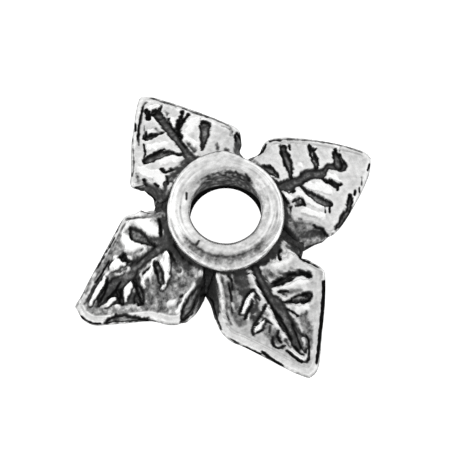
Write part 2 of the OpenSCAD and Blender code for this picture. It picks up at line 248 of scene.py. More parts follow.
# kind, then strokes with the columns along, aside, half width
LEAVES["east"]["marks"] = [
    ("dark", [(1.9, -0.56, 0.14), (1.9, -1.2, 0.14)]),
    ("dull", [(1.9, -1.48, 0.18), (2.25, -1.62, 0.21), (2.6, -1.87, 0.21), (2.78, -2.08, 0.14)]),
    ("dark", [(2.04, -1.87, 0.12), (2.39, -1.97, 0.14), (2.64, -2.08, 0.11)]),
    ("dull", [(1.94, -2.15, 0.11), (2.46, -2.25, 0.12), (2.99, -2.22, 0.09)]),
    ("pale", [(2.18, -2.22, 0.04), (2.6, -2.29, 0.06), (2.96, -2.25, 0.04)]),
    ("dull", [(2.11, -1.27, 0.05), (2.29, -1.34, 0.05)]),
    ("rib", [(2.25, 0.07, 0.16), (2.46, 0.04, 0.21), (2.75, 0.07, 0.19), (2.96, 0.04, 0.14),
      (3.41, 0.18, 0.18), (3.87, 0.07, 0.18), (4.15, 0.19, 0.08), (4.33, 0.26, 0.1), (4.68, 0.07, 0.16),
      (4.89, 0.11, 0.11)]),
    ("lobe", [(2.25, -0.32, 0.11), (2.36, -0.53, 0.11)],
     [(3.24, -0.28, 0.14), (3.59, -0.49, 0.18), (3.8, -0.7, 0.14)],
     [(2.68, -0.39, 0.12), (2.89, -0.7, 0.14), (3.1, -1.06, 0.14)],
     [(2.53, -1.06, 0.11), (2.75, -1.27, 0.14), (3.03, -1.48, 0.11)],
     [(4.1, 0, 0.05), (4.22, -0.21, 0.11), (4.35, -0.42, 0.07)],
     [(4.17, 1.11, 0.06), (4.21, 1.09, 0.06)],
     [(3.29, 0.62, 0.06), (3.33, 0.56, 0.06)],
     [(4.98, 0.86, 0.04), (5.02, 0.86, 0.04)]),
    ("dull", [(1.92, -2.25, 0.06), (2.41, -2.27, 0.06), (2.85, -2.22, 0.05)]),
    ("vein", [(2.04, 0.95, 0.09), (2.18, 0.84, 0.14), (2.29, 0.63, 0.11), (2.34, 0.46, 0.05)],
     [(2.75, 0.28, 0.04), (2.82, 0.42, 0.06), (2.92, 0.7, 0.14), (3.01, 0.99, 0.14), (3.1, 1.44, 0.12)]),
    ("black", [(2.8, 0.6, 0.04), (2.87, 0.99, 0.05), (2.94, 1.34, 0.04)]),
    ("vein", [(3.84, 0.32, 0.05), (3.94, 0.56, 0.11), (4, 0.84, 0.11), (4.07, 1.23, 0.04)],
     [(4.68, 0.18, 0.16), (4.75, 0.42, 0.14), (4.82, 0.6, 0.11), (4.89, 0.77, 0.05)],
     [(3.87, -0.14, 0.05), (3.98, -0.35, 0.06), (4.12, -0.53, 0.08), (4.15, -0.67, 0.05)],
     [(4.08, -0.32, 0.05), (4.19, -0.48, 0.05), (4.4, -0.56, 0.04)],
     [(2.92, -0.14, 0.04), (2.99, -0.35, 0.05), (3.06, -0.53, 0.09), (3.2, -0.7, 0.14),
      (3.34, -0.92, 0.16), (3.48, -1.06, 0.14), (3.59, -1.16, 0.05)],
     [(3.24, -2.09, 0.04), (3.52, -1.94, 0.09), (3.8, -1.76, 0.11), (4.08, -1.55, 0.09),
      (4.29, -1.3, 0.08), (4.47, -1.06, 0.05)]),
    ("black", [(2.11, 1.48, 0.04), (2.32, 1.55, 0.05), (2.46, 1.65, 0.04), (2.57, 1.76, 0.04)],
     [(3.31, 1.3, 0.04), (3.38, 1.48, 0.04)],
     [(4.12, 0.99, 0.03), (4.26, 1.04, 0.03)],
     [(3.1, -0.05, 0.03), (3.52, 0, 0.03), (3.77, -0.11, 0.03), (3.87, -0.16, 0.03)],
     [(2.39, -0.23, 0.05), (2.6, -0.26, 0.05)],
     [(3.34, -1.16, 0.03), (3.24, -1.37, 0.03)],
     [(3.52, -1.2, 0.04), (3.38, -1.41, 0.04)]),
    ("dark", [(2.43, -0.7, 0.05), (2.6, -0.72, 0.05)]),
    ("black", [(2.32, -0.63, 0.04), (2.5, -0.6, 0.05), (2.68, -0.6, 0.04), (2.68, -0.88, 0.04)],
     [(2.36, -0.79, 0.04), (2.53, -0.81, 0.05), (2.68, -0.84, 0.04)],
     [(2.15, -0.18, 0.05), (2.11, -0.42, 0.05), (2.18, -0.63, 0.05)],
     [(1.97, -0.99, 0.05), (2.18, -0.77, 0.05)],
     [(2.6, -1.69, 0.05), (2.64, -1.83, 0.05), (2.78, -1.9, 0.05), (2.78, -2.11, 0.05),
      (2.85, -2.25, 0.05)],
     [(4.61, -1.09, 0.05), (4.72, -0.95, 0.05)],
     [(4.86, -1.02, 0.04), (4.93, -0.88, 0.04)],
     [(5.63, -0.32, 0.04), (5.84, -0.11, 0.04)]),
    ("grey", [(5.07, -0.81, 0.03), (5.24, -0.53, 0.03)],
     [(4.93, 0.6, 0.02), (5.03, 0.7, 0.02), (5.14, 0.83, 0.02)],
     [(2.82, 1.81, 0.04), (3.17, 1.78, 0.04), (3.87, 1.53, 0.04), (4.58, 1.23, 0.04), (5.28, 0.84, 0.04),
      (5.81, 0.42, 0.04)]),
    ("pale", [(4, 0.95, 0.02), (3.92, 0.62, 0.02)]),
    ("dark", [(1.85, 1.3, 0.05), (1.97, 1, 0.06), (2.04, 0.72, 0.05)],
     [(1.43, -2.18, 0.06), (1.32, -2.45, 0.06)]),
    ("pale", [(1.65, -2.43, 0.03), (1.85, -2.2, 0.03)],
     [(2.01, -0.76, 0.03), (1.94, -0.95, 0.03)]),
    ("black", [(4.96, 0.58, 0.04), (4.95, 0.33, 0.05), (4.96, 0.18, 0.05)]),
    ("dark", [(1.99, -1.23, 0.05), (1.95, -1.51, 0.06), (1.92, -1.71, 0.06)]),
    ("lobe", [(2.04, -0.83, 0.03), (1.97, -1, 0.03)]),
    ("black", [(1.88, -2.38, 0.02), (2.08, -2.39, 0.03), (2.34, -2.39, 0.03), (2.57, -2.38, 0.02)]),
    ("dull", [(1.9, -2.04, 0.07), (1.81, -2.27, 0.09), (1.69, -2.45, 0.09)]),
    ("black", [(2.78, 1.83, 0.02), (2.99, 1.8, 0.03), (3.17, 1.72, 0.02)]),
]
print("right-hand leaf:", len(LEAVES["east"]["marks"]), "runs of marks")

# %% [markdown]
# ## The upper leaf
#
# This leaf points up to the left. Its midrib runs straight from the ring to the tip and
# forks on its right. The film sits in two long veins on the left, and the lobes between
# them are rubbed bright.

# %% Chart the upper leaf
# columns: along, aside
LEAVES["north"] = {
    "turn": 91.1,
    "field": 0.77,
    "left_edge": [(1.55, 1.48), (1.8, 1.8), (2.18, 1.71), (2.5, 1.87), (2.68, 2.18), (2.92, 2.2),
                  (3.38, 1.92), (4.29, 1.43), (5.07, 0.9), (5.77, 0.42), (6.23, 0.04)],
    "right_edge": [(1.55, 1.62), (1.83, 1.83), (2.15, 1.83), (2.39, 2.04), (2.85, 2.11), (3.45, 1.83),
                   (4.29, 1.39), (4.93, 1.04), (5.53, 0.69), (6.02, 0.35), (6.23, 0.07)],
    "left_shoulder": [(1.55, 1.16), (1.83, 1.21), (2.04, 1.39), (2.43, 1.65), (2.6, 1.97), (2.66, 2.15)],
    "right_shoulder": [(1.55, 1.16), (1.83, 1.34), (2.11, 1.51), (2.36, 1.69), (2.66, 2.01)],
}
# kind, then strokes with the columns along, aside, half width
LEAVES["north"]["marks"] = [
    ("dark", [(1.76, 1.62, 0.18), (2.04, 1.62, 0.16), (2.25, 1.69, 0.14), (2.46, 1.74, 0.07)],
     [(1.76, -1.41, 0.07), (2.11, -1.65, 0.07), (2.22, -1.76, 0.07)],
     [(2.11, 0.95, 0.07), (2.32, 0.63, 0.11), (2.43, 0.28, 0.11), (2.46, -0.28, 0.11)]),
    ("rib", [(2.46, -0.04, 0.18), (2.96, -0.07, 0.12), (3.52, -0.07, 0.12), (3.87, -0.09, 0.16),
      (4.58, -0.09, 0.16), (5.21, -0.09, 0.14)]),
    ("lobe", [(2.18, 1.27, 0.14), (2.39, 1.27, 0.21), (2.68, 1.2, 0.14)],
     [(3.66, -0.63, 0.14), (3.94, -0.92, 0.18), (4.01, -1.13, 0.11)],
     [(4.54, -0.95, 0.06), (4.61, -0.95, 0.06)]),
    ("dull", [(2.75, 1.97, 0.05), (3.1, 1.83, 0.05)],
     [(2.82, -0.42, 0.05), (2.96, -0.53, 0.05)]),
    ("dark", [(2.32, -0.99, 0.05), (2.57, -1.13, 0.05)],
     [(2.11, -1.27, 0.08), (2.18, -1.27, 0.08)]),
    ("lobe", [(3.89, 0.86, 0.11), (3.75, 0.62, 0.12), (3.63, 0.37, 0.11)],
     [(4.52, 0.51, 0.08), (4.51, 0.44, 0.08)],
     [(4.51, -0.39, 0.05), (4.17, -0.32, 0.04)],
     [(3.61, -0.4, 0.04), (3.26, -0.44, 0.11), (3.01, -0.49, 0.07)],
     [(3.01, 0.84, 0.09), (2.92, 0.49, 0.11), (2.75, 0.39, 0.07)],
     [(3.2, 1.64, 0.11), (2.83, 1.44, 0.14), (2.45, 1.25, 0.14), (2.25, 1.13, 0.07)],
     [(3.57, -0.97, 0.03), (2.85, -0.56, 0.04)],
     [(5.54, -0.02, 0.04), (5.46, -0.28, 0.06), (5.23, -0.37, 0.04)]),
    ("dark", [(2.64, -0.04, 0.07), (2.53, 0.48, 0.07), (2.32, 0.92, 0.07), (2.02, 1.25, 0.05)]),
    ("rib", [(5.21, -0.02, 0.11), (4.91, -0.12, 0.14)]),
    ("vein", [(2.53, 0.74, 0.05), (2.53, 0.95, 0.05), (2.78, 1.02, 0.04)],
     [(2.92, 0.18, 0.02), (3.1, 0.28, 0.04), (3.22, 0.39, 0.07), (3.34, 0.7, 0.15), (3.38, 0.99, 0.17),
      (3.43, 1.27, 0.14)],
     [(4.19, 0.18, 0.04), (4.24, 0.42, 0.07), (4.29, 0.63, 0.1), (4.31, 0.76, 0.12)],
     [(5.07, 0.33, 0.03), (5.28, 0.21, 0.06), (5.49, 0.11, 0.04)],
     [(3.59, -0.25, 0.04), (3.87, -0.3, 0.05), (4.08, -0.39, 0.06), (4.36, -0.56, 0.05)],
     [(3.94, -0.35, 0.05), (4.19, -0.67, 0.05), (4.36, -0.95, 0.05)],
     [(4.36, -0.7, 0.05), (4.61, -0.86, 0.05)],
     [(2.68, -0.6, 0.03), (2.89, -0.74, 0.07), (3.1, -0.93, 0.13), (3.34, -1.09, 0.17),
      (3.56, -1.2, 0.18), (3.73, -1.23, 0.08)]),
    ("black", [(1.76, 1.85, 0.05), (2.11, 1.92, 0.05), (2.36, 2.04, 0.05), (2.57, 2.13, 0.05)],
     [(2.46, 1.8, 0.05), (2.71, 1.74, 0.05)],
     [(2.16, 1.48, 0.05), (2.32, 1.51, 0.05)],
     [(2.04, 1.28, 0.04), (2.11, 1.28, 0.04)],
     [(2.04, 1.16, 0.04), (2.29, 1.06, 0.04)],
     [(3.48, 0.49, 0.04), (3.52, 0.7, 0.05), (3.48, 0.92, 0.04)],
     [(3.59, 1.27, 0.04), (3.73, 1.13, 0.04), (3.94, 1.06, 0.03), (4.15, 0.97, 0.02)],
     [(4.36, 0.88, 0.04), (4.51, 0.77, 0.03)],
     [(2.96, 0.02, 0.03), (3.52, 0.02, 0.03)],
     [(3.1, -0.16, 0.03), (3.66, -0.16, 0.03)],
     [(4.15, -0.18, 0.04), (4.4, -0.26, 0.04)],
     [(4.58, 0.05, 0.04), (4.96, 0.05, 0.04)],
     [(5.14, -0.04, 0.04), (5.28, -0.28, 0.04)],
     [(5.14, -0.25, 0.03), (5.35, -0.44, 0.03)],
     [(2.29, -1.94, 0.04), (2.57, -1.95, 0.04)],
     [(2.32, -1.76, 0.04), (2.53, -1.85, 0.04), (2.6, -1.94, 0.04)],
     [(4.86, 0.92, 0.04), (5.17, 0.76, 0.04)]),
    ("grey", [(4.58, 0.7, 0.02), (4.86, 0.56, 0.02)],
     [(4.61, -0.25, 0.03), (4.89, -0.39, 0.03)],
     [(3.1, 2.01, 0.03), (3.52, 1.72, 0.03), (4.58, 1.2, 0.03)],
     [(4.19, 1.16, 0.04), (4.75, 0.84, 0.04), (5.28, 0.46, 0.05), (5.74, 0.11, 0.04), (5.81, -0.07, 0.03)],
     [(2.64, -1.72, 0.04), (2.89, -1.88, 0.04), (3.17, -1.83, 0.04), (3.87, -1.48, 0.04)]),
    ("dark", [(3.87, -1.48, 0.03), (4.4, -1.16, 0.04), (4.93, -0.88, 0.04), (5.91, -0.28, 0.03)]),
    ("black", [(5.35, 0.09, 0.06), (5.03, 0.26, 0.06)],
     [(5.21, 0.14, 0.05), (5.12, -0.05, 0.05)],
     [(4.65, -0.33, 0.04), (4.24, -0.21, 0.04), (3.7, -0.21, 0.04)],
     [(3.7, -0.21, 0.06), (4.22, -0.46, 0.06), (4.54, -0.84, 0.05)],
     [(4.28, -0.62, 0.04), (4.33, -0.99, 0.04)],
     [(5.72, 0.14, 0.03), (5.19, 0.56, 0.04), (4.45, 1.06, 0.04)],
     [(4.59, 0.63, 0.04), (4.24, 0.84, 0.04)],
     [(2.39, 1.02, 0.04), (2.06, 1.16, 0.04)]),
    ("dark", [(2.13, 1.2, 0.06), (1.8, 1.39, 0.06)],
     [(3.34, -0.32, 0.04), (2.76, -0.32, 0.07)],
     [(1.92, -1.57, 0.06), (1.64, -1.44, 0.06)]),
    ("grey", [(3.2, -1.67, 0.03), (2.99, -1.8, 0.03), (2.75, -1.85, 0.03), (2.57, -1.78, 0.02)]),
    ("dull", [(4.49, 0.28, 0.05), (4.28, 0.28, 0.05)],
     [(5.02, -0.35, 0.04), (4.88, -0.4, 0.04)]),
]
print("upper leaf:", len(LEAVES["north"]["marks"]), "runs of marks")

# %% [markdown]
# ## The left-hand leaf
#
# This leaf points down to the left, and its field is a dull grey of painted shade.
# Bright lobes stand out of it, each with a black line of painted shade along its side.

# %% Chart the left-hand leaf
# columns: along, aside
LEAVES["west"] = {
    "turn": 178.6,
    # painted shade: this leaf's field is darker
    "field": 0.5,
    "left_edge": [(1.55, 1.55), (1.87, 2.01), (2.39, 2.39), (3.06, 2.55), (3.45, 2.36), (3.91, 1.88),
                  (4.65, 1.43), (5.35, 1), (5.67, 0.76), (5.88, 0.39), (5.91, 0.14)],
    "right_edge": [(1.55, 1.34), (1.87, 1.58), (2.15, 1.74), (2.64, 1.71), (3.06, 1.83), (3.59, 1.55),
                   (4.29, 1.13), (5, 0.72), (5.56, 0.37), (5.88, 0.21), (5.91, 0.02)],
    "left_shoulder": [(1.55, 1.2), (1.76, 1.62), (2.32, 1.9), (2.85, 2.18), (3.06, 2.39), (3.13, 2.5)],
    "right_shoulder": [(1.55, 1.13), (1.9, 1.13), (2.32, 1.34), (2.53, 1.53)],
}
# kind, then strokes with the columns along, aside, half width
LEAVES["west"]["marks"] = [
    ("dark", [(1.83, 1.76, 0.18), (2.04, 1.97, 0.18), (2.25, 2.11, 0.14)]),
    ("dull", [(2.25, 1.34, 0.28), (2.82, 1.55, 0.46), (3.38, 1.55, 0.35)],
     [(3.17, 0.92, 0.18), (3.52, 1.13, 0.21)],
     [(5, 0.35, 0.18), (5.28, 0.42, 0.18)]),
    ("dark", [(3.66, 0.28, 0.18), (3.8, 0.92, 0.18), (4.36, 0.7, 0.21), (4.79, 0.35, 0.21)]),
    ("dull", [(3.77, -0.84, 0.14), (4.22, -0.81, 0.18), (4.68, -0.67, 0.14)]),
    ("pale", [(2.96, 1.83, 0.11), (3.17, 1.8, 0.11)],
     [(2.11, 1.72, 0.05), (2.46, 1.87, 0.07), (2.75, 2.04, 0.07), (3.03, 2.18, 0.09)]),
    ("dark", [(2.11, -0.18, 0.18), (2.15, 0.42, 0.18), (2.04, 0.92, 0.14)]),
    ("rib", [(2.11, -0.07, 0.16), (2.96, -0.07, 0.16), (3.52, -0.04, 0.18), (3.94, 0.09, 0.25),
      (4.82, 0.14, 0.23), (5.21, 0.35, 0.05)]),
    ("dark", [(2.02, -0.88, 0.11), (2.18, -0.37, 0.14), (2.27, 0.12, 0.12)],
     [(2.64, -0.56, 0.07), (2.36, -0.25, 0.14)],
     [(2.22, 0.46, 0.11), (2.11, 0.86, 0.11), (1.99, 1.16, 0.07)]),
    ("ridge", [(2.43, 0.21, 0.09), (2.53, 0.42, 0.12), (2.68, 0.67, 0.13), (2.82, 0.95, 0.09),
      (3.1, 1.2, 0.06)]),
    ("lobe", [(3.06, 0.25, 0.09), (3.2, 0.39, 0.16), (3.38, 0.53, 0.16), (3.59, 0.67, 0.12)]),
    ("ridge", [(3.94, 0.39, 0.09), (4.08, 0.46, 0.12), (4.22, 0.6, 0.11), (4.35, 0.77, 0.05)],
     [(4.65, 0.49, 0.07), (4.82, 0.51, 0.09), (4.96, 0.56, 0.05)],
     [(4.61, -0.35, 0.04), (4.75, -0.23, 0.09), (4.93, -0.14, 0.11), (5.14, -0.04, 0.07),
      (5.42, 0.14, 0.04)],
     [(3.84, -0.39, 0.09), (3.94, -0.49, 0.16), (4.12, -0.49, 0.16), (4.26, -0.46, 0.07)]),
    ("lobe", [(3.1, -0.42, 0.18), (3.34, -0.77, 0.21), (3.41, -1.2, 0.14)],
     [(2.32, -0.56, 0.14), (2.53, -0.99, 0.25), (2.68, -1.41, 0.18)],
     [(3.91, -0.7, 0.08), (3.98, -0.7, 0.08)],
     [(4.65, 0.77, 0.06), (4.72, 0.77, 0.06)],
     [(2.29, 1.09, 0.07), (2.36, 1.09, 0.07)],
     [(2.83, 0.18, 0.06), (2.9, 0.18, 0.06)]),
    ("pale", [(3.77, -0.11, 0.07), (4.19, -0.18, 0.07)]),
    ("lobe", [(3.27, -1.48, 0.07), (3.45, -1.14, 0.09), (3.48, -0.76, 0.11)]),
    ("grey", [(3.68, -0.69, 0.03), (3.47, -0.32, 0.03), (3.04, -0.23, 0.03)]),
    ("lobe", [(4.63, -0.3, 0.07), (4.95, -0.16, 0.09), (5.28, 0.02, 0.07), (5.44, 0.11, 0.04)],
     [(5.12, 0.48, 0.04), (4.84, 0.48, 0.08), (4.63, 0.51, 0.07)],
     [(4.05, 0.39, 0.08), (4.22, 0.6, 0.09), (4.38, 0.81, 0.06)],
     [(3.19, -1.48, 0.07), (2.97, -1.5, 0.09), (2.75, -1.41, 0.09)],
     [(2.55, 0.21, 0.04), (2.73, 0.39, 0.08), (2.87, 0.7, 0.08)]),
    ("pale", [(4.52, -0.39, 0.04), (4.24, -0.44, 0.05)]),
    ("dull", [(3.33, -0.46, 0.06), (3.08, -0.39, 0.06)]),
    ("vein", [(2.04, 1.94, 0.11), (2.32, 2.04, 0.14), (2.6, 2.25, 0.18), (2.85, 2.39, 0.12),
      (2.99, 2.48, 0.05)],
     [(2.89, 0.32, 0.08), (2.92, 0.56, 0.11), (2.99, 0.81, 0.11), (3.04, 1.02, 0.08)],
     [(3.77, 0.35, 0.05), (3.77, 0.56, 0.05), (3.8, 0.77, 0.12), (3.91, 0.95, 0.18), (3.94, 1.13, 0.12),
      (3.94, 1.23, 0.04)],
     [(4.44, 0.32, 0.07), (4.47, 0.49, 0.09), (4.47, 0.67, 0.09), (4.47, 0.81, 0.05)],
     [(3.61, -0.32, 0.04), (3.66, -0.46, 0.07), (3.71, -0.63, 0.06)],
     [(3.73, -0.42, 0.04), (3.8, -0.56, 0.07), (3.84, -0.67, 0.04)],
     [(2.64, -0.32, 0.06), (2.78, -0.49, 0.06), (2.89, -0.7, 0.14), (2.99, -0.92, 0.19),
      (3.06, -1.09, 0.16), (3.06, -1.27, 0.05)],
     [(3.94, 1.88, 0.04), (4.22, 1.65, 0.07), (4.51, 1.41, 0.11), (4.79, 1.21, 0.14), (5.03, 1.06, 0.11),
      (5.28, 1.02, 0.05)]),
    ("dark", [(4.68, -0.49, 0.05), (4.93, -0.35, 0.05), (5.17, -0.21, 0.04), (5.49, 0, 0.04)]),
    ("black", [(2.01, 2.29, 0.04), (2.11, 2.22, 0.04), (2.25, 2.32, 0.04), (2.46, 2.5, 0.04),
      (2.68, 2.59, 0.04), (3.1, 2.57, 0.04)],
     [(2.64, 1.8, 0.04), (2.69, 1.8, 0.04)],
     [(1.87, 1.06, 0.03), (2.01, 0.7, 0.03), (2.08, 0.14, 0.03)],
     [(2.32, 0.7, 0.04), (2.32, 0.18, 0.04)],
     [(4.54, 0.42, 0.03), (4.75, 0.37, 0.03), (5, 0.4, 0.03)],
     [(3.03, -0.18, 0.03), (3.45, -0.11, 0.03)],
     [(4.51, -0.28, 0.04), (4.65, -0.14, 0.04), (4.93, 0.04, 0.04)],
     [(4.22, -0.76, 0.04), (4.58, -0.56, 0.04), (4.93, -0.42, 0.04)],
     [(2.32, -0.42, 0.06), (2.22, -0.63, 0.06), (2.11, -0.99, 0.06)],
     [(3.7, -1.34, 0.03), (4.15, -1.09, 0.03)],
     [(4.29, -1, 0.03), (4.65, -0.81, 0.03)],
     [(5.46, 0.95, 0.04), (5.67, 0.77, 0.04), (5.81, 0.56, 0.04), (5.91, 0.32, 0.04)]),
    ("grey", [(1.94, -1.23, 0.04), (2.29, -1.23, 0.04), (2.53, -1.37, 0.04), (3.06, -1.65, 0.04)]),
    ("dark", [(3.1, -1.78, 0.03), (3.59, -1.51, 0.03), (4.29, -1.09, 0.03), (5, -0.69, 0.03),
      (5.56, -0.33, 0.03)]),
    ("grey", [(3.17, -1.55, 0.04), (3.7, -1.23, 0.04), (4.29, -0.88, 0.04), (4.93, -0.49, 0.04)]),
    ("black", [(4.56, -0.16, 0.04), (4.84, 0.09, 0.05), (5.12, 0.26, 0.04)],
     [(4.21, 0.11, 0.04), (4.51, 0.26, 0.05), (4.84, 0.32, 0.04)],
     [(4.31, 0.37, 0.05), (4.58, 0.72, 0.05)],
     [(3.84, 0.37, 0.04), (3.87, 0.74, 0.05), (3.94, 1.18, 0.04)],
     [(3.15, 0.28, 0.04), (3.63, 0.4, 0.04)]),
    ("dark", [(3.57, 0.86, 0.04), (3.66, 1.39, 0.04)],
     [(3.13, 0.77, 0.04), (3.36, 1.36, 0.04)],
     [(2.39, 0.67, 0.05), (2.39, 0.97, 0.07)],
     [(3.22, 0.11, 0.04), (3.08, 0.14, 0.04)],
     [(4.15, -0.23, 0.04), (3.87, -0.16, 0.04)],
     [(3.41, 0.62, 0.06), (3.47, 0.81, 0.06)]),
    ("dull", [(5, -0.62, 0.03), (5.26, -0.48, 0.03)]),
    ("pale", [(2.22, 2.27, 0.04), (2.46, 2.52, 0.04), (2.76, 2.69, 0.03), (3.04, 2.71, 0.03)],
     [(2.38, -1.51, 0.03), (2.08, -1.39, 0.04)]),
    ("dull", [(2.01, -0.79, 0.04), (2.13, -0.32, 0.04)]),
    ("pale", [(2.38, -1.44, 0.04), (2.09, -1.3, 0.04)],
     [(2.32, -1.02, 0.05), (2.27, -0.81, 0.05)],
     [(1.88, -1.07, 0.03), (1.9, -0.88, 0.03)]),
    ("dull", [(5.3, -0.48, 0.04), (5.67, -0.23, 0.04), (5.9, -0.11, 0.03)]),
    ("black", [(4.26, 1.64, 0.03), (3.94, 1.95, 0.03), (3.78, 2.09, 0.02)]),
    ("dark", [(2.39, 0.79, 0.07), (2.32, 1.06, 0.07)]),
    ("dull", [(3.5, -1.27, 0.03), (3.7, -1.13, 0.03)]),
    ("pale", [(3.04, 1.06, 0.04), (3.08, 1.27, 0.04)],
     [(3.61, -0.51, 0.04), (3.54, -0.37, 0.04)],
     [(3.52, 0.32, 0.04), (3.56, 0.51, 0.04)]),
    ("dull", [(5.07, -0.55, 0.04), (5.24, -0.42, 0.04), (5.4, -0.28, 0.04)]),
]
print("left-hand leaf:", len(LEAVES["west"]["marks"]), "runs of marks")

# %% [markdown]
# ## The lower leaf
#
# This leaf points down to the right, with a bright strip along its midrib. The field on
# the left of the rib is dark and streaky with painted shade, and the one on the right has
# two deep veins.

# %% Chart the lower leaf
# columns: along, aside
LEAVES["south"] = {
    "turn": 270.7,
    "field": 0.72,
    "left_edge": [(1.55, 1.55), (1.83, 1.8), (2.11, 1.92), (2.46, 1.67), (2.82, 1.88), (3.17, 2.11),
                  (3.48, 2.02), (4.22, 1.58), (4.93, 1.07), (5.67, 0.55), (5.91, 0.28), (5.97, 0.07)],
    "right_edge": [(1.55, 1.62), (1.83, 1.88), (2.32, 1.92), (3.17, 2.11), (3.73, 1.97), (4.15, 1.6),
                   (4.89, 1), (5.56, 0.46), (5.95, 0.07), (5.97, 0.02)],
    "left_shoulder": [(1.55, 1.16), (1.94, 1.28), (2.18, 1.36), (2.46, 1.46), (2.68, 1.65)],
    "right_shoulder": [(1.55, 1.16), (1.83, 1.39), (2.39, 1.64), (2.89, 1.88), (3.03, 2.06)],
}
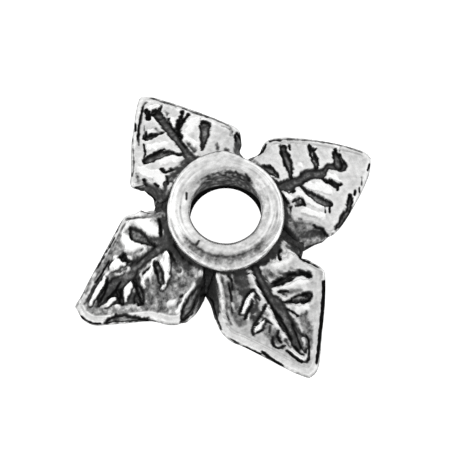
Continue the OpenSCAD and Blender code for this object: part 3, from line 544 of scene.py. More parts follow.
# kind, then strokes with the columns along, aside, half width
LEAVES["south"]["marks"] = [
    ("dark", [(1.97, -0.56, 0.18), (2.32, -0.7, 0.28), (2.6, -0.77, 0.18)],
     [(1.76, -1.62, 0.18), (2.25, -1.69, 0.21), (2.75, -1.8, 0.14)],
     [(1.97, 0.21, 0.14), (2.01, 0.63, 0.14), (1.97, 0.99, 0.11)]),
    ("dull", [(2.39, 0.21, 0.11), (2.75, 0.46, 0.11)],
     [(2.32, -1.16, 0.25), (2.96, -1.34, 0.21), (3.41, -1.34, 0.18)]),
    ("dark", [(2.75, -0.7, 0.21), (3.24, -0.77, 0.25), (3.66, -0.77, 0.21)]),
    ("dull", [(4.08, -0.63, 0.21), (4.44, -0.49, 0.21)],
     [(4.29, 0.7, 0.18), (4.72, 0.6, 0.18), (5.14, 0.42, 0.11)]),
    ("dark", [(4.1, 0.23, 0.14), (4.72, 0.25, 0.18), (5.14, 0.19, 0.11)]),
    ("rib", [(2.18, -0.04, 0.14), (2.64, -0.06, 0.12), (3.17, -0.04, 0.14), (3.52, 0.05, 0.23),
      (4.22, 0.05, 0.23), (4.58, 0.12, 0.23), (4.93, 0.16, 0.26), (5.17, 0.14, 0.14)]),
    ("lobe", [(2.36, 0.67, 0.14), (2.39, 1.06, 0.16), (2.29, 1.3, 0.11)],
     [(2.99, 0.26, 0.08), (3.06, 0.26, 0.08)],
     [(3.1, 0.49, 0.05), (3.17, 0.77, 0.09), (3.17, 1.06, 0.12), (3.27, 1.3, 0.12)],
     [(3.94, 0.67, 0.11), (3.98, 0.99, 0.11)],
     [(2.22, -0.32, 0.11), (2.46, -0.28, 0.07), (2.75, -0.28, 0.07), (3.03, -0.3, 0.09)],
     [(3.41, -0.28, 0.09), (3.7, -0.32, 0.12), (3.94, -0.28, 0.11), (4.15, -0.25, 0.05)],
     [(4.47, -0.23, 0.09), (4.54, -0.23, 0.09)]),
    ("ridge", [(2.85, -0.53, 0.05), (2.89, -0.67, 0.08), (3.03, -0.92, 0.08), (3.2, -1.16, 0.07)]),
    ("lobe", [(3.34, -0.99, 0.06), (3.41, -1.09, 0.06)]),
    ("ridge", [(3.77, -0.6, 0.04), (3.8, -0.74, 0.07), (3.87, -0.92, 0.07), (3.91, -1.02, 0.04)]),
    ("lobe", [(4.82, -0.25, 0.06), (5.03, -0.21, 0.06), (5.24, -0.07, 0.06), (5.35, 0, 0.05)],
     [(1.76, -1.34, 0.07), (2.11, -1.41, 0.07), (2.46, -1.55, 0.07), (2.82, -1.72, 0.07),
      (3.17, -1.8, 0.07)]),
    ("pale", [(3.41, 0.77, 0.11), (3.45, 1.09, 0.11)],
     [(4.89, 0.35, 0.08), (4.96, 0.35, 0.08)]),
    ("vein", [(2.87, 0.25, 0.07), (2.9, 0.53, 0.11), (2.92, 0.81, 0.13), (2.92, 1.06, 0.11),
      (2.99, 1.3, 0.09), (3.13, 1.5, 0.09), (3.2, 1.57, 0.05)],
     [(3.59, 0.39, 0.04), (3.63, 0.56, 0.07), (3.68, 0.84, 0.12), (3.73, 1.06, 0.16), (3.7, 1.2, 0.12)]),
    ("black", [(2.46, 1.51, 0.04), (2.6, 1.53, 0.04), (2.82, 1.72, 0.03), (3.1, 1.94, 0.02)],
     [(3.59, 1.9, 0.08), (3.94, 1.72, 0.07), (4.29, 1.44, 0.07), (4.93, 0.99, 0.06), (5.46, 0.6, 0.05),
      (5.7, 0.42, 0.04)],
     [(2.04, 1.02, 0.05), (2.11, 0.9, 0.05), (2.29, 0.86, 0.05)],
     [(3.17, 0.28, 0.04), (3.24, 0.49, 0.04), (3.34, 0.67, 0.04)],
     [(3.8, 0.32, 0.04), (3.94, 0.42, 0.04), (4.12, 0.53, 0.05)],
     [(2.18, -0.18, 0.03), (4.15, -0.18, 0.03)],
     [(4.79, 0.49, 0.04), (5.03, 0.46, 0.04), (5.46, 0.21, 0.04), (5.51, 0.04, 0.04), (5.35, -0.14, 0.04),
      (4.93, -0.35, 0.04)],
     [(3.1, -0.42, 0.04), (2.89, -0.42, 0.04), (2.71, -0.46, 0.04), (2.75, -0.63, 0.04),
      (2.89, -0.92, 0.04), (3.2, -1.27, 0.04)],
     [(2.96, -0.49, 0.05), (3.1, -0.7, 0.05), (3.24, -0.95, 0.05), (3.41, -1.2, 0.05)],
     [(3.34, -0.32, 0.06), (3.45, -0.46, 0.06), (3.56, -0.67, 0.05), (3.73, -1.02, 0.05),
      (3.87, -1.16, 0.04), (4.01, -1.16, 0.04)],
     [(3.98, -0.42, 0.03), (3.77, -0.53, 0.03), (3.87, -0.63, 0.03), (3.98, -0.84, 0.03),
      (3.98, -1.02, 0.03)],
     [(3.98, -0.49, 0.03), (4.15, -0.63, 0.03)],
     [(4.26, -0.32, 0.05), (4.36, -0.42, 0.06), (4.58, -0.42, 0.05)],
     [(4.36, -0.6, 0.05), (4.51, -0.7, 0.07), (4.72, -0.6, 0.05), (4.75, -0.32, 0.04)],
     [(1.97, -1.02, 0.04), (2.18, -0.99, 0.04), (2.39, -1.09, 0.04)],
     [(2.11, -2.11, 0.04), (2.46, -1.94, 0.04), (2.75, -2.01, 0.04), (3.34, -2.09, 0.04)],
     [(4.58, -1.14, 0.05), (4.86, -1, 0.05), (5.28, -0.74, 0.04)]),
    ("grey", [(2.01, -1.27, 0.04), (2.32, -1.34, 0.04), (2.64, -1.44, 0.04), (2.82, -1.58, 0.04),
      (3.1, -1.69, 0.04), (3.34, -1.69, 0.04)]),
    ("black", [(2.18, -1.13, 0.03), (2.6, -1.27, 0.03), (3.03, -1.48, 0.03)]),
    ("grey", [(2.32, -0.99, 0.03), (2.82, -1.2, 0.03), (3.24, -1.44, 0.03)],
     [(4.15, 0.88, 0.05), (4.29, 0.77, 0.05), (4.58, 0.74, 0.05)]),
    ("black", [(2.5, -0.23, 0.04), (3.29, -0.16, 0.05), (4.08, -0.05, 0.06), (4.68, -0.05, 0.06)],
     [(4.28, 0.21, 0.04), (4.84, 0.16, 0.04), (5.17, 0.11, 0.04)],
     [(4.93, -0.04, 0.05), (5.21, 0.04, 0.05)],
     [(3.63, 1.85, 0.05), (4.08, 1.55, 0.05), (4.75, 1.09, 0.05), (5.4, 0.62, 0.05), (5.68, 0.4, 0.04)],
     [(4.61, -1.16, 0.04), (4.91, -1, 0.05), (5.32, -0.76, 0.04)],
     [(2.89, 0.23, 0.04), (2.87, 0.65, 0.05), (2.89, 1.07, 0.05), (3.01, 1.37, 0.05), (3.24, 1.57, 0.05)],
     [(3.56, 0.33, 0.04), (3.61, 0.67, 0.04), (3.63, 1.02, 0.05), (3.66, 1.16, 0.05), (3.85, 1.06, 0.04),
      (3.78, 0.86, 0.04)]),
    ("grey", [(2.96, 0.7, 0.02), (3.01, 1.09, 0.02), (3.13, 1.39, 0.02)],
     [(3.61, 0.63, 0.02), (3.66, 0.92, 0.03), (3.77, 1.11, 0.03)],
     [(4.4, 0.33, 0.02), (4.63, 0.37, 0.02), (4.63, 0.53, 0.02)],
     [(4.89, 0.42, 0.03), (5.1, 0.33, 0.03)]),
    ("dark", [(1.9, -1.23, 0.06), (2.04, -1.27, 0.06)],
     [(2.66, 0.63, 0.06), (2.78, 0.74, 0.06)],
     [(4.59, -0.23, 0.06), (4.86, -0.21, 0.06)],
     [(2.6, 0.14, 0.06), (2.87, 0.16, 0.06)]),
    ("pale", [(3.7, -0.79, 0.03), (3.68, -0.67, 0.03)],
     [(3.43, -0.84, 0.03), (3.41, -0.72, 0.03)]),
    ("black", [(4.17, -1.67, 0.04), (4.35, -1.53, 0.05), (4.49, -1.41, 0.06), (4.63, -1.28, 0.05)]),
    ("dark", [(2.02, 1.28, 0.06), (2.18, 1.41, 0.08), (2.38, 1.5, 0.06)],
     [(3.29, 0.4, 0.03), (3.38, 0.51, 0.03)]),
    ("black", [(3.5, 0.25, 0.03), (3.63, 0.58, 0.03)]),
    ("dark", [(2.18, -0.42, 0.04), (2.25, -0.21, 0.04)]),
    ("dull", [(3.33, 0.7, 0.06), (3.45, 1.04, 0.06)],
     [(2.73, 1.09, 0.04), (2.87, 1.21, 0.04)],
     [(3.54, -0.46, 0.04), (3.66, -0.42, 0.04)]),
    ("black", [(3.77, -1.94, 0.03), (4.01, -1.8, 0.03)]),
    ("pale", [(2.8, -1.34, 0.04), (2.99, -1.37, 0.04)],
     [(2.92, -0.6, 0.03), (3.13, -0.63, 0.03)]),
    ("lobe", [(5.17, 0.11, 0.03), (5.33, 0.18, 0.03)]),
]
print("lower leaf:", len(LEAVES["south"]["marks"]), "runs of marks")

# %% [markdown]
# ## Face of a leaf
#
# A leaf's plain face slopes down from the collar to the tip, with a slight arch. Beside
# a notch it falls from its shoulder to the ledge at the collar's foot. Such a flank is
# cut by hand too, so the shoulder lines are charted like the edges.

# %% Find the plain face
def width_at(edge, along):
    path = smooth_path(edge)
    return np.interp(along, path[:, 0], path[:, 1])


def reach_of(leaf):
    return leaf["left_edge"][-1][0]


def face_height(leaf, along):
    """Height of the leaf's plain face."""
    share = (reach_of(leaf) - along) / (reach_of(leaf) - WALL_R)
    return TIP_T + (ROOT_Z - TIP_T) * share + ARCH * np.sin(np.pi * np.clip(share, 0, 1))


def outline_of(leaf):
    """The leaf's outline from its left root over the tip to its right root."""
    left = smooth_path(leaf["left_edge"])
    right = smooth_path(leaf["right_edge"]) * [1, -1]
    return np.vstack([left, right[::-1]])[::2]


def fall_of(leaf, spots):
    """0 on a leaf's face, and 1 where its flank has come down to the ledge."""
    along, aside = spots[:, 0], spots[:, 1]
    fall = np.zeros(len(spots))
    for side, name in ((1, "left"), (-1, "right")):
        shoulder = leaf[name + "_shoulder"]
        end = shoulder[-1][0]
        inner = width_at(shoulder, along)
        outer = np.maximum(width_at(leaf[name + "_edge"], along), inner + 0.02)
        share = (side * aside - inner) / (outer - inner)
        fall = np.maximum(fall, np.where(along < end, ease(share * 1.1) * ease((end - along) / 0.3), 0))
    return fall


for name, leaf in LEAVES.items():
    print(name, "leaf reaches", reach_of(leaf), "mm, outline of", len(outline_of(leaf)), "points")

# %% [markdown]
# ## Relief and finish
#
# Both come from distances in plan. The distance to the outline rolls the edge over and
# sets the smooth rim apart from the field, and the last bit of the edge gets painted shade.
# Then every mark sinks or lifts the face and sets its finish. A vein was rubbed a little
# on its floor, and its steep side gets a black line of painted shade. The metal right
# beside it gets a painted highlight and is the brightest.
#
# A spot that lies low seems shifted towards the viewer in the photo. The marks were
# read off the photo, so the same shift is made before they are looked up.

# %% Measure the relief and the finish
EDGE_ROLL = 0.24      # radius of the rolled-over edge
RIM_W = 0.28          # width of the smooth rim
FIELD_D = 0.05        # the field lies this far below the rim
LOW_SHIFT = 0.342 / 0.94  # shift towards the viewer for each millimetre of depth
RIM_FINISH = 0.78     # finishes go from 0 for black to 1 for bright metal, and also carry painted shade and highlights
# painted shade on the flanks that fall to the notches
FLANK_SHADE = 0.3
# painted shade on the leaves' walls and undersides and on the ledge's wall
WALL_SHADE = 0.12
FOOT_FINISH = 0.22    # in the crevice round the collar's foot
CREVICE_R = 2.14      # that crevice reaches this far from the axis
STROKE_STEP = 0.06    # length of the stretches that a stroke is made of
RAGGED = 0.035        # how far a mark's side wanders
HIGHLIGHT_W = 0.13         # width of the painted highlight beside a vein
HIGHLIGHT_SHARE = 0.7      # how strong that painted highlight is
SIDE_SHADE_W = 0.05        # width of the black line of painted shade along a mark's inner side
OUTER_SHADE_W = 0.03    # width of the painted shade along its outer side
EDGE_SHADE = 0.25      # share of the shine that the last bit of the edge loses to painted shade
FOOT_FILM = 0.4       # share that the crevice lacks
LUMPS = 0.012         # height of the cast skin's wide lumps
FINE_LUMPS = 0.005    # and of its fine ones


def lay_marks(leaf, spots, rough, fall, finish):
    """Depth of the marks at each spot, and the finish with them."""
    depth_there = np.zeros(len(spots))
    for kind, *strokes in leaf["marks"]:
        depth, tone, soft, ragged, side_shade_in, side_shade_out = KINDS[kind]
        for stroke in strokes:
            gap = gap_to_path(spots, smooth_path(stroke, STROKE_STEP)) + ragged * rough
            share = 1 - ease(gap / soft + 0.5)
            # a painted highlight on the metal beside a vein or a rib
            if kind in ("vein", "rib"):
                beside_highlight = np.exp(-((np.clip(gap, 0, 9) / HIGHLIGHT_W) ** 2)) * (1 - fall)
                beside_highlight = beside_highlight * ease((finish - 0.45) / 0.25)
                finish = finish + (1 - finish) * HIGHLIGHT_SHARE * beside_highlight
            depth_there = depth_there + (depth - depth_there) * share
            finish = finish + (tone - finish) * share
            # a black line of painted shade along the mark's sides, inside and outside
            finish = finish * (1 - side_shade_in * np.exp(-(((gap + 0.02) / SIDE_SHADE_W) ** 2)))
            finish = finish * (1 - side_shade_out * np.exp(-(((gap - SIDE_SHADE_W) / OUTER_SHADE_W) ** 2)))
    return depth_there, finish


def leaf_face(leaf, spots):
    """Height and finish of a leaf's face at each spot of its plan."""
    plain = face_height(leaf, spots[:, 0])
    fall = fall_of(leaf, spots)
    edge_gap = gap_to_path(spots, outline_of(leaf))
    inside = ease((edge_gap - RIM_W) / 0.1 + 0.5) * (1 - fall)
    roll = EDGE_ROLL - np.sqrt(EDGE_ROLL**2 - (EDGE_ROLL - np.minimum(edge_gap, EDGE_ROLL)) ** 2)
    drop = fall * (plain - (LEDGE_Z - 0.06)) + FIELD_D * inside
    finish = RIM_FINISH + (leaf["field"] - RIM_FINISH) * inside
    # painted shade on the flanks
    finish = finish + (FLANK_SHADE - finish) * ease(fall * 3)

    to_viewer = CAMERA_TURN - math.pi / 2 - math.radians(leaf["turn"])
    seen = spots + LOW_SHIFT * (drop + roll)[:, None] * [math.cos(to_viewer), math.sin(to_viewer)]
    rough = RAGGED * (hand_noise(seen, 0.11, 21) + 0.6 * hand_noise(seen, 0.06, 22))
    foot = 1 - ease((np.linalg.norm(spots, axis=1) + 1.5 * rough - CREVICE_R) / 0.12)
    finish = finish + (FOOT_FINISH - finish) * foot
    depth, finish = lay_marks(leaf, seen, rough, fall, finish)
    drop = drop + depth * (1 - 0.5 * fall) * ease(edge_gap / 0.1)
    uneven = LUMPS * hand_noise(spots, 0.22, 3) + FINE_LUMPS * hand_noise(spots, 0.09, 5)
    # the crevice's film, and painted shade on the last bit of the edge
    finish = finish * (1 - FOOT_FILM * foot) * (1 - EDGE_SHADE * (1 - ease(edge_gap / 0.07)))
    return plain - drop - roll + uneven, np.clip(finish, 0, 1)


height, finish = leaf_face(LEAVES["east"], np.array([[3.5, 0.0], [3.5, 1.2]]))
print("right-hand leaf 3.5 mm out: midrib", height[0].round(2), "mm, field", height[1].round(2), "mm")

# %% [markdown]
# ## Underside and walls
#
# The cap is hollow, so that it sits over a bead. The underside of a leaf runs from the
# ledge down to the tip, which stands on the floor. The walls draw in below the widest
# line, as on every casting that has to leave its mould.

# %% Shape what lies under the face
WALL_SHARES = np.array([0.08, 0.2, 0.5, 0.8])  # depths on a wall, as shares of its height
WALL_DRAFT = 0.47     # how fast a wall draws in below its widest line
WALL_TURN = 0.06      # depth over which it starts to do so
ROOF_T = 0.14         # how far the leaves' underside lies above the ledge's
ROOF_FALL = 0.5       # way over which the round hollow falls from the seat
TIP_STRETCH = 0.7     # last stretch of a leaf, where its end wall draws in too
UNDER_LEAST = 0.4     # least share of a leaf's half width that its underside keeps


def under_height(leaf, spots):
    """Height of a leaf's underside. Near the collar it follows the round hollow."""
    r = np.linalg.norm(spots, axis=-1)
    hollow = LEDGE_LOW_Z + (SEAT_Z - LEDGE_LOW_Z) * np.clip((LEDGE_R - r) / ROOF_FALL, 0, 1) + ROOF_T
    way = r + (spots[..., 0] - r) * ease(r - LEDGE_R)
    share = np.clip((reach_of(leaf) - way) / (reach_of(leaf) - LEDGE_R), 0, 1)
    return np.where(r < LEDGE_R, hollow, (LEDGE_LOW_Z + ROOF_T) * share)


def inset_rows(leaf, rows, left, right, depth):
    """Along, left and right of both walls at a depth under the widest line."""
    middle, half = (left + right) / 2, (left - right) / 2
    slant = np.sqrt(1 + np.gradient(half, rows) ** 2).clip(1, 1.6)
    tipness = ease((rows - reach_of(leaf) + TIP_STRETCH) / TIP_STRETCH)
    inset = WALL_DRAFT * (np.hypot(depth, WALL_TURN) - WALL_TURN)
    rest = np.maximum(half - inset * slant, UNDER_LEAST * half)
    return np.stack([rows - inset * tipness, middle + rest, middle - rest])


print("hollow at the collar", round(SEAT_Z, 2), "mm high, at the ledge", LEDGE_LOW_Z, "mm")

# %% [markdown]
# ## Solids of the leaves
#
# A leaf is lofted: one closed section after another, from the root inside the collar's
# wall to the tip. A section runs over the face from the right edge to the left, down
# the left wall, back along the underside, and up the right wall. The face gets many
# points, because the relief is on it, and the hidden underside only a few.

# %% Loft the leaves
ROW_STEP = 0.038      # from section to section
TIP_ROUND = 0.3       # the tip's last stretch, where the sections stand closer
TIP_ROWS = 14
FACE_POINTS = 108     # across a leaf's face
UNDER_POINTS = 10
LEAST_T = 0.05        # least thickness, which matters inside the collar only


def make_object(name, points, faces, shine):
    """A mesh object from points in millimetres, with the finish of each point."""
    mesh = bpy.data.meshes.new(name)
    mesh.from_pydata((points * MM).tolist(), [], faces)
    mesh.update()
    layer = mesh.attributes.new("shine", "FLOAT", "POINT")
    layer.data.foreach_set("value", shine.astype(np.float32))
    item = bpy.data.objects.new(name, mesh)
    bpy.context.scene.collection.objects.link(item)
    return item


def grid_faces(rows, points, close_rows):
    """Quads between closed rings of points, as vertex numbers."""
    at = np.arange(rows * points).reshape(rows, points)
    if close_rows:
        at = np.vstack([at, at[:1]])
    beside = np.roll(at, -1, axis=1)
    quads = np.stack([at[:-1], at[1:], beside[1:], beside[:-1]], axis=-1)
    return quads.reshape(-1, 4).tolist()


def leaf_rows(leaf):
    """Where the sections stand along the leaf, closer together towards the tip."""
    reach = reach_of(leaf)
    far = np.arange(ROOT_AT, reach - TIP_ROUND, ROW_STEP)
    near = reach - TIP_ROUND * (1 - np.sin(np.linspace(0, math.pi / 2, TIP_ROWS)))
    return np.concatenate([far, near])


def loft_leaf(name, leaf):
    rows = leaf_rows(leaf)
    left = width_at(leaf["left_edge"], rows)
    right = -width_at(leaf["right_edge"], rows)

    across = np.linspace(0, 1, FACE_POINTS)
    across = across - 0.4 * np.sin(2 * np.pi * across) / (2 * np.pi)  # closer at the edges
    aside = right[:, None] + (left - right)[:, None] * across
    spots = np.stack(np.broadcast_arrays(rows[:, None], aside), axis=-1)
    flat = spots.reshape(-1, 2)
    height, finish = leaf_face(leaf, flat)
    height = np.maximum(height, under_height(leaf, flat) + LEAST_T)
    face = np.concatenate([spots, height.reshape(aside.shape)[..., None]], axis=-1)

    floor_left = under_height(leaf, np.stack([rows, left], axis=-1))
    floor_right = under_height(leaf, np.stack([rows, right], axis=-1))
    floor_left[-1] = floor_right[-1] = 0
    full = np.minimum(face[:, -1, 2] - floor_left, face[:, 0, 2] - floor_right)

    def wall(edge_z, floor_z, side):
        """One wall's points at each of its depths, from the top down."""
        levels = []
        for share in WALL_SHARES:
            at = inset_rows(leaf, rows, left, right, full * share)
            levels.append(np.stack([at[0], at[side], edge_z + (floor_z - edge_z) * share], axis=-1))
        return np.stack(levels, axis=1)

    left_wall = wall(face[:, -1, 2], floor_left, 1)
    right_wall = wall(face[:, 0, 2], floor_right, 2)[:, ::-1]
    base = inset_rows(leaf, rows, left, right, full)
    back = np.linspace(0, 1, UNDER_POINTS)
    under_aside = base[1][:, None] + (base[2] - base[1])[:, None] * back
    spots = np.stack(np.broadcast_arrays(base[0][:, None], under_aside), axis=-1)
    under_z = under_height(leaf, spots)
    near_tip = rows >= reach_of(leaf) - TIP_STRETCH
    under_z[near_tip] = np.minimum(under_z[near_tip], floor_left[near_tip, None])
    under_z[-1] = 0
    under = np.concatenate([spots, under_z[..., None]], axis=-1)

    sections = np.concatenate([face, left_wall, under, right_wall], axis=1)
    # the walls and the underside get painted shade
    shine = np.full(sections.shape[:2], WALL_SHADE)
    shine[:, :FACE_POINTS] = finish.reshape(aside.shape)

    n, m = sections.shape[:2]
    faces = grid_faces(n, m, close_rows=False)
    faces.append(list(range(m)))
    faces.append(list(range((n - 1) * m, n * m))[::-1])
    turn = math.radians(leaf["turn"])
    c, s = math.cos(turn), math.sin(turn)
    points = sections.reshape(-1, 3) @ np.array([[c, s, 0], [-s, c, 0], [0, 0, 1]])
    return make_object(name, points, faces, shine.ravel())


leaf_solids = [loft_leaf(name + "_leaf", leaf) for name, leaf in LEAVES.items()]
for item in leaf_solids:
    print(item.name, len(item.data.polygons), "faces")

# %% [markdown]
# ## Profile of the collar
#
# The ring, the wall under it and the ledge between the leaves are one turned shape, so
# one closed profile goes round the axis. The master was made by hand: the ring is
# thickest at the back left and a little thicker in front, and the ledge reaches further
# out in the front right notch. The hole meets the ring at an edge, as a reamed one does.
#
# The finish changes round the collar as well. The crevice under the ring kept its film.
# The hole's wall gets painted shade, black low down and darker at the back, and the ring
# gets painted shade towards its outline and below it. A thin darker arc runs along the
# front of the ring.

# %% Draw the collar's profile
BACK = CAMERA_TURN + math.pi / 2  # the direction away from the camera
INNER_CUT = 40        # the ring's inner side meets the hole at this angle, in degrees
HOLE_FILLET = 0.2     # under the hole's lower edge
LIP_FRONT = 0.02      # how much narrower the hole is in front
HOLE_SHADE_Z = 2.38        # the hole's wall gets black painted shade below this height, and higher up at its sides
LEDGE_TURN = 0.14     # radius of the ledge's rounded edge
LEDGE_FINISH = 0.2
RING_FINISH = 0.78
HOLE_FINISH = 0.9     # inside the hole, where no painted shade lies
BACK_SHADE = 0.62      # how much painted shade darkens the back of the hole
DARK_ARC = 74         # the thin darker arc lies at this angle on the ring, in degrees
DARK_ARC_LOSS = 0.5   # how much less shine it has
ARC_ASIDE = 0.04      # how far its middle lies aside of the front, in radians
OUTLINE_TILT = 20     # the ring's outline in the photo lies up to so many degrees off its middle
SWELL_LEFT = 0.24     # how much thicker the ring is at the back left
SWELL_RIGHT = 0.05    # at the back right
SWELL_FRONT = 0.13    # in front
SWELL_SIDE = 0.035    # and beside that

# columns: direction in degrees, radius of the notch's bottom
NOTCHES = [(43.0, 2.56), (137.2, 2.57), (225.0, 2.65), (311.2, 2.85)]

# columns: distance out from the wall, height, finish, unevenness of the finish
CREVICE = [(0, 2.76, 0.2, 0.15), (0, 2.68, 0.12, 0.15), (0.03, 2.58, 0.1, 0.15), (0.08, 2.5, 0.1, 0.1)]

# columns: radius, finish, both on the seat under the collar
SEAT = [(2.15, 0.3), (1.8, 0.35), (1.6, 0.35)]


def ledge_radius(angle):
    """Radius of the ledge in a direction, from those of the four notches."""
    total = 0
    weight = 0
    for direction, radius in NOTCHES:
        off = (math.degrees(angle) - direction + 180) % 360 - 180
        share = math.exp(-((off / 28) ** 2)) + 1e-6
        total += share * radius
        weight += share
    return total / weight


def back_share(angle):
    """How far a direction faces away from the camera, from 0 to 1."""
    return max(0.0, math.cos(angle - BACK))


def toward_back(angle, start, width):
    """From 0 to 1 as the cosine of a direction's turn off the back goes from start over width."""
    return ease((math.cos(angle - BACK) - start) / width)


def hole_profile(angle):
    """From the seat up the hole's wall and over the ring's inner side."""
    # painted shade: the back of the hole and the ring's inner side there, which face the camera, are
    # darker
    back = toward_back(angle, 0.45, 0.4)
    inner = HOLE_FINISH - BACK_SHADE * back
    wall = HOLE_FINISH - BACK_SHADE * toward_back(angle, 0.05, 0.35)
    hole_r = HOLE_R - LIP_FRONT * back_share(angle + math.pi)
    # painted shade low in the hole, reaching higher at its sides
    shade_z = HOLE_SHADE_Z + 0.85 * (1 - back_share(angle)) * ease(back_share(angle) / 0.3)
    spots = []
    for a in np.linspace(math.pi / 2, 0, 6):
        r, z = hole_r + HOLE_FILLET * (1 - math.cos(a)), SEAT_Z + HOLE_FILLET * (1 - math.sin(a))
        spots.append((r, z, 0, 0))
    inner_r = (RING_MID_R - hole_r) / math.cos(math.radians(INNER_CUT))
    inner_z = CROWN_Z - inner_r
    lip_z = inner_z + inner_r * math.sin(math.radians(INNER_CUT))
    for z in np.linspace(SEAT_Z + 0.3, lip_z - 0.015, 18):
        up = ease((z - shade_z) / 0.12)
        spots.append((hole_r, z, wall * up, 0.16 * up * back))
    for a in np.radians(np.linspace(180 - INNER_CUT, 95, 14)):
        # painted shade on the ring's inner side at the back
        dark = ease((math.degrees(a) - 106) / 20) * back
        finish = RING_FINISH + (inner - RING_FINISH) * dark
        r, z = RING_MID_R + inner_r * math.cos(a), inner_z + inner_r * math.sin(a)
        spots.append((r, z, finish, 0.06 + 0.2 * dark))
    return spots


def ring_profile(angle):
    """Over the top of the ring and down its outside."""
    lean = math.remainder(angle - BACK, 2 * math.pi)  # more than 0 on the left of the back
    bulge = SWELL_RIGHT + (SWELL_LEFT - SWELL_RIGHT) * ease((lean + 0.45) / 0.55)
    forward = back_share(angle + math.pi)
    swell = SWELL_SIDE * ease(forward / 0.3) + (SWELL_FRONT - SWELL_SIDE) * forward**6
    thick = RING_R + bulge * back_share(angle) ** 2 + swell
    front = toward_back(angle - math.pi + ARC_ASIDE, 0.46, 0.3)
    outline = OUTLINE_TILT * math.cos(angle - BACK)
    spots = []
    for degrees in np.linspace(90, -38, 36):
        low = ease((outline + 27 - degrees) / 30)  # painted shade, darker down to the ring's outline
        spread = 5 if degrees > DARK_ARC else 26   # the arc has a sharp upper side
        arc = DARK_ARC_LOSS * front * math.exp(-abs(degrees - DARK_ARC) / spread)
        # painted shade on the ring's side below its outline
        under = 1 - 0.6 * ease((outline + 9 - degrees) / 10)
        a = math.radians(degrees)
        spots.append((RING_MID_R + thick * math.cos(a), RING_Z + RING_R * math.sin(a),
                      (RING_FINISH - 0.35 * low - arc) * under, 0.05 + 0.2 * low + 0.2 * arc))
    return spots


def ledge_profile(angle):
    """From the crevice under the ring over the ledge and back to the seat."""
    reach = ledge_radius(angle)
    spots = [(WALL_R + out, z, finish, uneven) for out, z, finish, uneven in CREVICE]
    start, top = spots[-1][:2]
    for share in np.linspace(0.15, 0.9, 8):
        r = start + (reach - LEDGE_TURN - start) * share
        spots.append((r, top - (top - LEDGE_Z) * share**0.85, LEDGE_FINISH, 0.15))
    # the rounded edge darkens into painted shade as it turns down to the wall
    for a in np.linspace(math.pi / 2, 0, 6):
        spots.append((reach - LEDGE_TURN * (1 - math.cos(a)), LEDGE_Z - LEDGE_TURN * (1 - math.sin(a)),
                      LEDGE_FINISH * (0.4 + 0.6 * math.sin(a)), 0.1))
    # the ledge's wall gets painted shade
    for z in np.linspace(LEDGE_Z - 0.22, LEDGE_LOW_Z + 0.06, 6):
        spots.append((reach, z, WALL_SHADE, 0))
    spots.append((reach - 0.05, LEDGE_LOW_Z, WALL_SHADE, 0))
    return spots + [(r, SEAT_Z, finish, 0.1) for r, finish in SEAT]


notch_radii = [round(ledge_radius(math.radians(direction)), 2) for direction, radius in NOTCHES]
print("the ledge reaches", notch_radii, "mm in the four notches")

# %% [markdown]
# ## The collar
#
# The profile is turned round the axis, with a slight wobble. The rubbing left fine
# streaks round the ring's sides, which also get a painted highlight, and the casting left
# a few small pits, which hold some film.

# %% Turn the collar
AROUND = 288          # sections round the axis
WOBBLE = 0.012        # how far the collar strays from a true circle
WOBBLE_UP = 0.01      # and the ring from a true height
STREAKS = 0.2         # strength of the rubbing's streaks
PIT_FILM = 0.85       # share of the shine that a pit lacks

# small pits in the ring, each a stroke to the picture's right and away, with half its width
PITS = [
    [(-1.36, 0.56, 0.03), (-1.37, 0.34, 0.02)],
    [(-0.92, -1.2, 0.02), (-1.01, -1.35, 0.03)],
    [(0.7, 1.27, 0.03), (0.82, 1.05, 0.04)],
    [(0.35, 1.36, 0.02), (0.42, 1.26, 0.02)],
]


def noise_on(spots, cell, seed):
    """Unevenness for a whole grid of spots."""
    return hand_noise(spots.reshape(-1, 2), cell, seed).reshape(spots.shape[:-1])


def turn_collar():
    angles = np.linspace(2 * np.pi, 0, AROUND, endpoint=False)
    sections = np.array([hole_profile(a) + ring_profile(a) + ledge_profile(a) for a in angles], float)
    r, z, finish, uneven = (sections[..., k] for k in range(4))
    a = np.broadcast_to(angles[:, None], r.shape)
    around = np.stack([r * np.cos(a), r * np.sin(a)], axis=-1)
    wobble = noise_on(around + z[..., None] * [0, 1], 0.45, 11)
    specks = noise_on(around * [1, 1.3] + z[..., None] * [1.1, 0.7], 0.1, 12)
    streaks = noise_on(np.stack([a * 2.2, (r - z) / 0.055], axis=-1), 1, 13)
    # the ring's sides, left and right of the camera, get a painted highlight and the rubbing's streaks
    side = np.abs(np.cos(a - CAMERA_TURN)) * (z > RING_Z) * (finish > 0.6)
    finish = np.clip(finish + uneven * specks + side * (0.07 + STREAKS * streaks), 0, 1)
    axes = np.array([picture_right[:2], picture_away[:2]]).T
    for pit in PITS:
        gap = gap_to_path(around.reshape(-1, 2) @ axes, np.array(pit)).reshape(r.shape)
        finish = finish * (1 - PIT_FILM * (z > RING_Z) * (1 - ease(gap / 0.05 + 0.3)))
    r = r + WOBBLE * wobble * ease((z - 2.2) / 0.5)
    points = np.stack([r * np.cos(a), r * np.sin(a), z + WOBBLE_UP * wobble * (z > RING_Z)], axis=-1)
    faces = grid_faces(*r.shape, close_rows=True)
    return make_object("collar", points.reshape(-1, 3), faces, finish.ravel())


collar = turn_collar()
print("collar", len(collar.data.polygons), "faces")

# %% [markdown]
# ## One casting
#
# The real cap is one piece of metal. A Boolean modifier that adds the leaves to the
# collar gives one skin with nothing left inside. Its manifold solver is fast, and it
# keeps the finish of every point.

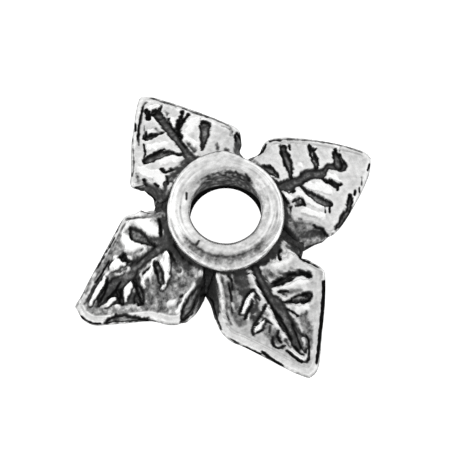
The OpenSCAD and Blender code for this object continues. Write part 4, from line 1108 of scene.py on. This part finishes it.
# %% Join everything into one casting
bpy.context.view_layer.update()
for number, item in enumerate(leaf_solids):
    join = collar.modifiers.new("add_leaf_%d" % number, "BOOLEAN")
    join.operation = "UNION"
    join.solver = "MANIFOLD"
    join.object = item
joined = collar.evaluated_get(bpy.context.evaluated_depsgraph_get())
skin = bpy.data.meshes.new_from_object(joined)
skin.name = "bead_cap_casting"
casting = bpy.data.objects.new("bead_cap_casting", skin)
bpy.context.scene.collection.objects.link(casting)
for item in [collar, *leaf_solids]:
    bpy.data.objects.remove(item)
skin.shade_smooth()
skin.set_sharp_from_angle(angle=math.radians(62))

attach(casting, "root")
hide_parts("bead_cap")
skin.calc_loop_triangles()
print("casting", len(skin.vertices), "points,", len(skin.loop_triangles), "triangles")

# %% [markdown]
# ## The antiqued finish
#
# The black film and the bright metal are one material, because that is how the real
# finish wears. What was stored on every point says how far the film was rubbed off, and
# also holds painted shade and painted highlights.
# Black places are matt and not metallic, and the barer the metal, the brighter and
# smoother it is. Fine noise breaks that up, as rubbing by hand does, and a little bump
# gives the cast skin its grain.

# %% Make the shader helpers
def node(tree, kind, place, **values):
    made = tree.nodes.new(kind)
    made.location = place
    for key, value in values.items():
        setattr(made, key, value)
    return made


def grey(value):
    return (value, value, value * 0.995, 1)


def ramp(tree, place, stops):
    """A colour ramp from pairs of place and grey value."""
    made = node(tree, "ShaderNodeValToRGB", place)
    points = made.color_ramp.elements
    while len(points) < len(stops):
        points.new(0.5)
    for point, (at, value) in zip(points, stops):
        point.position = at
        point.color = grey(value)
    return made


def noise(tree, place, scale, detail, roughness):
    made = node(tree, "ShaderNodeTexNoise", place)
    made.inputs["Scale"].default_value = scale
    made.inputs["Detail"].default_value = detail
    made.inputs["Roughness"].default_value = roughness
    return made


print("shader helpers ready")

# %% Mix the metal
MOTTLE_SCALE = 4500   # noise cells in a metre
GRAIN_SCALE = 9000
GRAIN_DEPTH = 0.02    # millimetres
FILM_SHEEN = 0        # the black film is matt

# pairs of place and value, from the black film at 0 to bare metal at 1
MOTTLE_REACH = [(0, 0.02), (0.3, 0.17), (0.5, 0.3), (0.7, 0.14), (0.85, 0.07), (1, 0.02)]
BASE_COLOUR = [(0, 0.004), (0.3, 0.065), (0.55, 0.28), (0.78, 0.62), (1, 0.97)]
ROUGHNESS = [(0, 0.5), (0.5, 0.38), (1, 0.2)]
METALLIC = [(0, 0), (0.45, 1)]

metal = bpy.data.materials.new("antiqued_metal")
metal.use_nodes = True
tree = metal.node_tree
link = tree.links.new
shader = tree.nodes["Principled BSDF"]
shader.location = (600, 0)
shader.inputs["Specular IOR Level"].default_value = FILM_SHEEN
shader.inputs["Specular Tint"].default_value = (0.6, 0.6, 0.6, 1)

place = node(tree, "ShaderNodeTexCoord", (-1500, 0))
film = node(tree, "ShaderNodeAttribute", (-1500, 300), attribute_name="shine")
mottle = noise(tree, (-1250, 0), MOTTLE_SCALE, 6, 0.65)
grain = noise(tree, (-1250, -300), GRAIN_SCALE, 4, 0.5)
link(place.outputs["Object"], mottle.inputs["Vector"])
link(place.outputs["Object"], grain.inputs["Vector"])

amount = node(tree, "ShaderNodeMapRange", (-1000, 0))
for socket, value in (("From Min", 0.3), ("From Max", 0.7), ("To Min", -1), ("To Max", 1)):
    amount.inputs[socket].default_value = value
link(mottle.outputs["Fac"], amount.inputs["Value"])
mottle_reach = ramp(tree, (-1000, 350), MOTTLE_REACH)
link(film.outputs["Fac"], mottle_reach.inputs["Fac"])
rubbed = node(tree, "ShaderNodeMath", (-700, 200), operation="MULTIPLY_ADD", use_clamp=True)
link(amount.outputs["Result"], rubbed.inputs[0])
link(mottle_reach.outputs["Color"], rubbed.inputs[1])
link(film.outputs["Fac"], rubbed.inputs[2])

looks = {"Base Color": BASE_COLOUR, "Roughness": ROUGHNESS, "Metallic": METALLIC}
for number, (socket, stops) in enumerate(looks.items()):
    look = ramp(tree, (-500, 300 - 280 * number), stops)
    link(rubbed.outputs["Value"], look.inputs["Fac"])
    link(look.outputs["Color"], shader.inputs[socket])

bump = node(tree, "ShaderNodeBump", (300, -300))
bump.inputs["Strength"].default_value = 0.25
bump.inputs["Distance"].default_value = GRAIN_DEPTH * MM
link(grain.outputs["Fac"], bump.inputs["Height"])
link(bump.outputs["Normal"], shader.inputs["Normal"])
skin.materials.clear()
skin.materials.append(metal)
print("material", metal.name, "with", len(tree.nodes), "nodes")

# %% [markdown]
# ## The table
#
# The photo shows the cap on plain white, with hardly any shadow, as on a light table. A
# pale floor that glows a little gives that, and a plain matt card is enough for it.

# %% Lay the floor
FLOOR_SIDE = 0.6      # metres
FLOOR_GREY = 0.5
FLOOR_GLOW = 1.0

bpy.ops.mesh.primitive_grid_add(x_subdivisions=2, y_subdivisions=2, size=FLOOR_SIDE, location=(0, 0, 0))
floor = bpy.context.object
floor.name = "pale_floor"
card = bpy.data.materials.new("pale_card")
card.use_nodes = True
card_shader = card.node_tree.nodes["Principled BSDF"]
card_shader.inputs["Base Color"].default_value = (FLOOR_GREY, FLOOR_GREY, FLOOR_GREY, 1)
card_shader.inputs["Roughness"].default_value = 0.9
card_shader.inputs["Emission Color"].default_value = (1, 1, 1, 1)
card_shader.inputs["Emission Strength"].default_value = FLOOR_GLOW
floor.data.materials.append(card)
print("floor", [round(side, 2) for side in floor.dimensions], "m")

# %% [markdown]
# ## The light
#
# Small bright metal is photographed in a white tent, because it mirrors everything round
# it. So the light is a world that is white on all sides, with two soft changes. A band
# overhead is a little grey, where such a tent is open for the camera, and shades the
# faces that lean towards the viewer. A brighter soft box stands high on the left.

# %% Light the room
TENT = 1.1
# columns: right, away and up, full within so many degrees, gone beyond so many, brightness
GREY_BAND = (0, 0.9945, 0.105, 4, 17, 0.55)  # lies square to this direction
SOFT_BOX = (-0.75, 0.15, 0.65, 12, 30, 1.5)  # lies round this one

world = bpy.data.worlds.new("white_tent")
bpy.context.scene.world = world
world.use_nodes = True
sky = world.node_tree
sky_link = sky.links.new
background = sky.nodes["Background"]
direction = node(sky, "ShaderNodeTexCoord", (-1400, 0))


def along_direction(right, away, up, height):
    """Cosine of the angle between the sky's direction and another."""
    dot = node(sky, "ShaderNodeVectorMath", (-1200, height), operation="DOT_PRODUCT")
    sky_link(direction.outputs["Generated"], dot.inputs[0])
    toward = picture_right * right + picture_away * away + Vector((0, 0, up))
    dot.inputs[1].default_value = toward.normalized()
    return dot.outputs["Value"]


def blend(first, value, cosine, none, full, height):
    """Change the light to a value as the cosine goes from none to full."""
    span = node(sky, "ShaderNodeMapRange", (-800, height), interpolation_type="SMOOTHSTEP")
    span.inputs["From Min"].default_value = none
    span.inputs["From Max"].default_value = full
    sky_link(cosine, span.inputs["Value"])
    mix = node(sky, "ShaderNodeMix", (-500, height), data_type="RGBA")
    sky_link(span.outputs["Result"], mix.inputs["Factor"])
    if isinstance(first, tuple):
        mix.inputs[6].default_value = first
    else:
        sky_link(first, mix.inputs[6])
    mix.inputs[7].default_value = (value, value, value, 1)
    return mix.outputs[2]


right, away, up, inner, outer, value = GREY_BAND
size = node(sky, "ShaderNodeMath", (-1000, 200), operation="ABSOLUTE")
sky_link(along_direction(right, away, up, 200), size.inputs[0])
none, full = math.sin(math.radians(outer)), math.sin(math.radians(inner))
shade = blend((TENT, TENT, TENT, 1), value, size.outputs["Value"], none, full, 200)

right, away, up, inner, outer, value = SOFT_BOX
none, full = math.cos(math.radians(outer)), math.cos(math.radians(inner))
shade = blend(shade, value, along_direction(right, away, up, 0), none, full, 0)
sky_link(shade, background.inputs["Color"])
background.inputs["Strength"].default_value = 1

view = bpy.context.scene.view_settings
view.view_transform = "Standard"
view.look = "None"
view.exposure = 0.0
print("tent", TENT, "band", GREY_BAND[-1], "soft box", SOFT_BOX[-1])

# %% [markdown]
# ## The CAD part's box
#
# The casting must keep the CAD part's size. The last line prints the CAD part's box.

# %% Print the CAD box
print("CAD box", [round(v / MM, 2) for v in (*cad_low, *cad_high)])
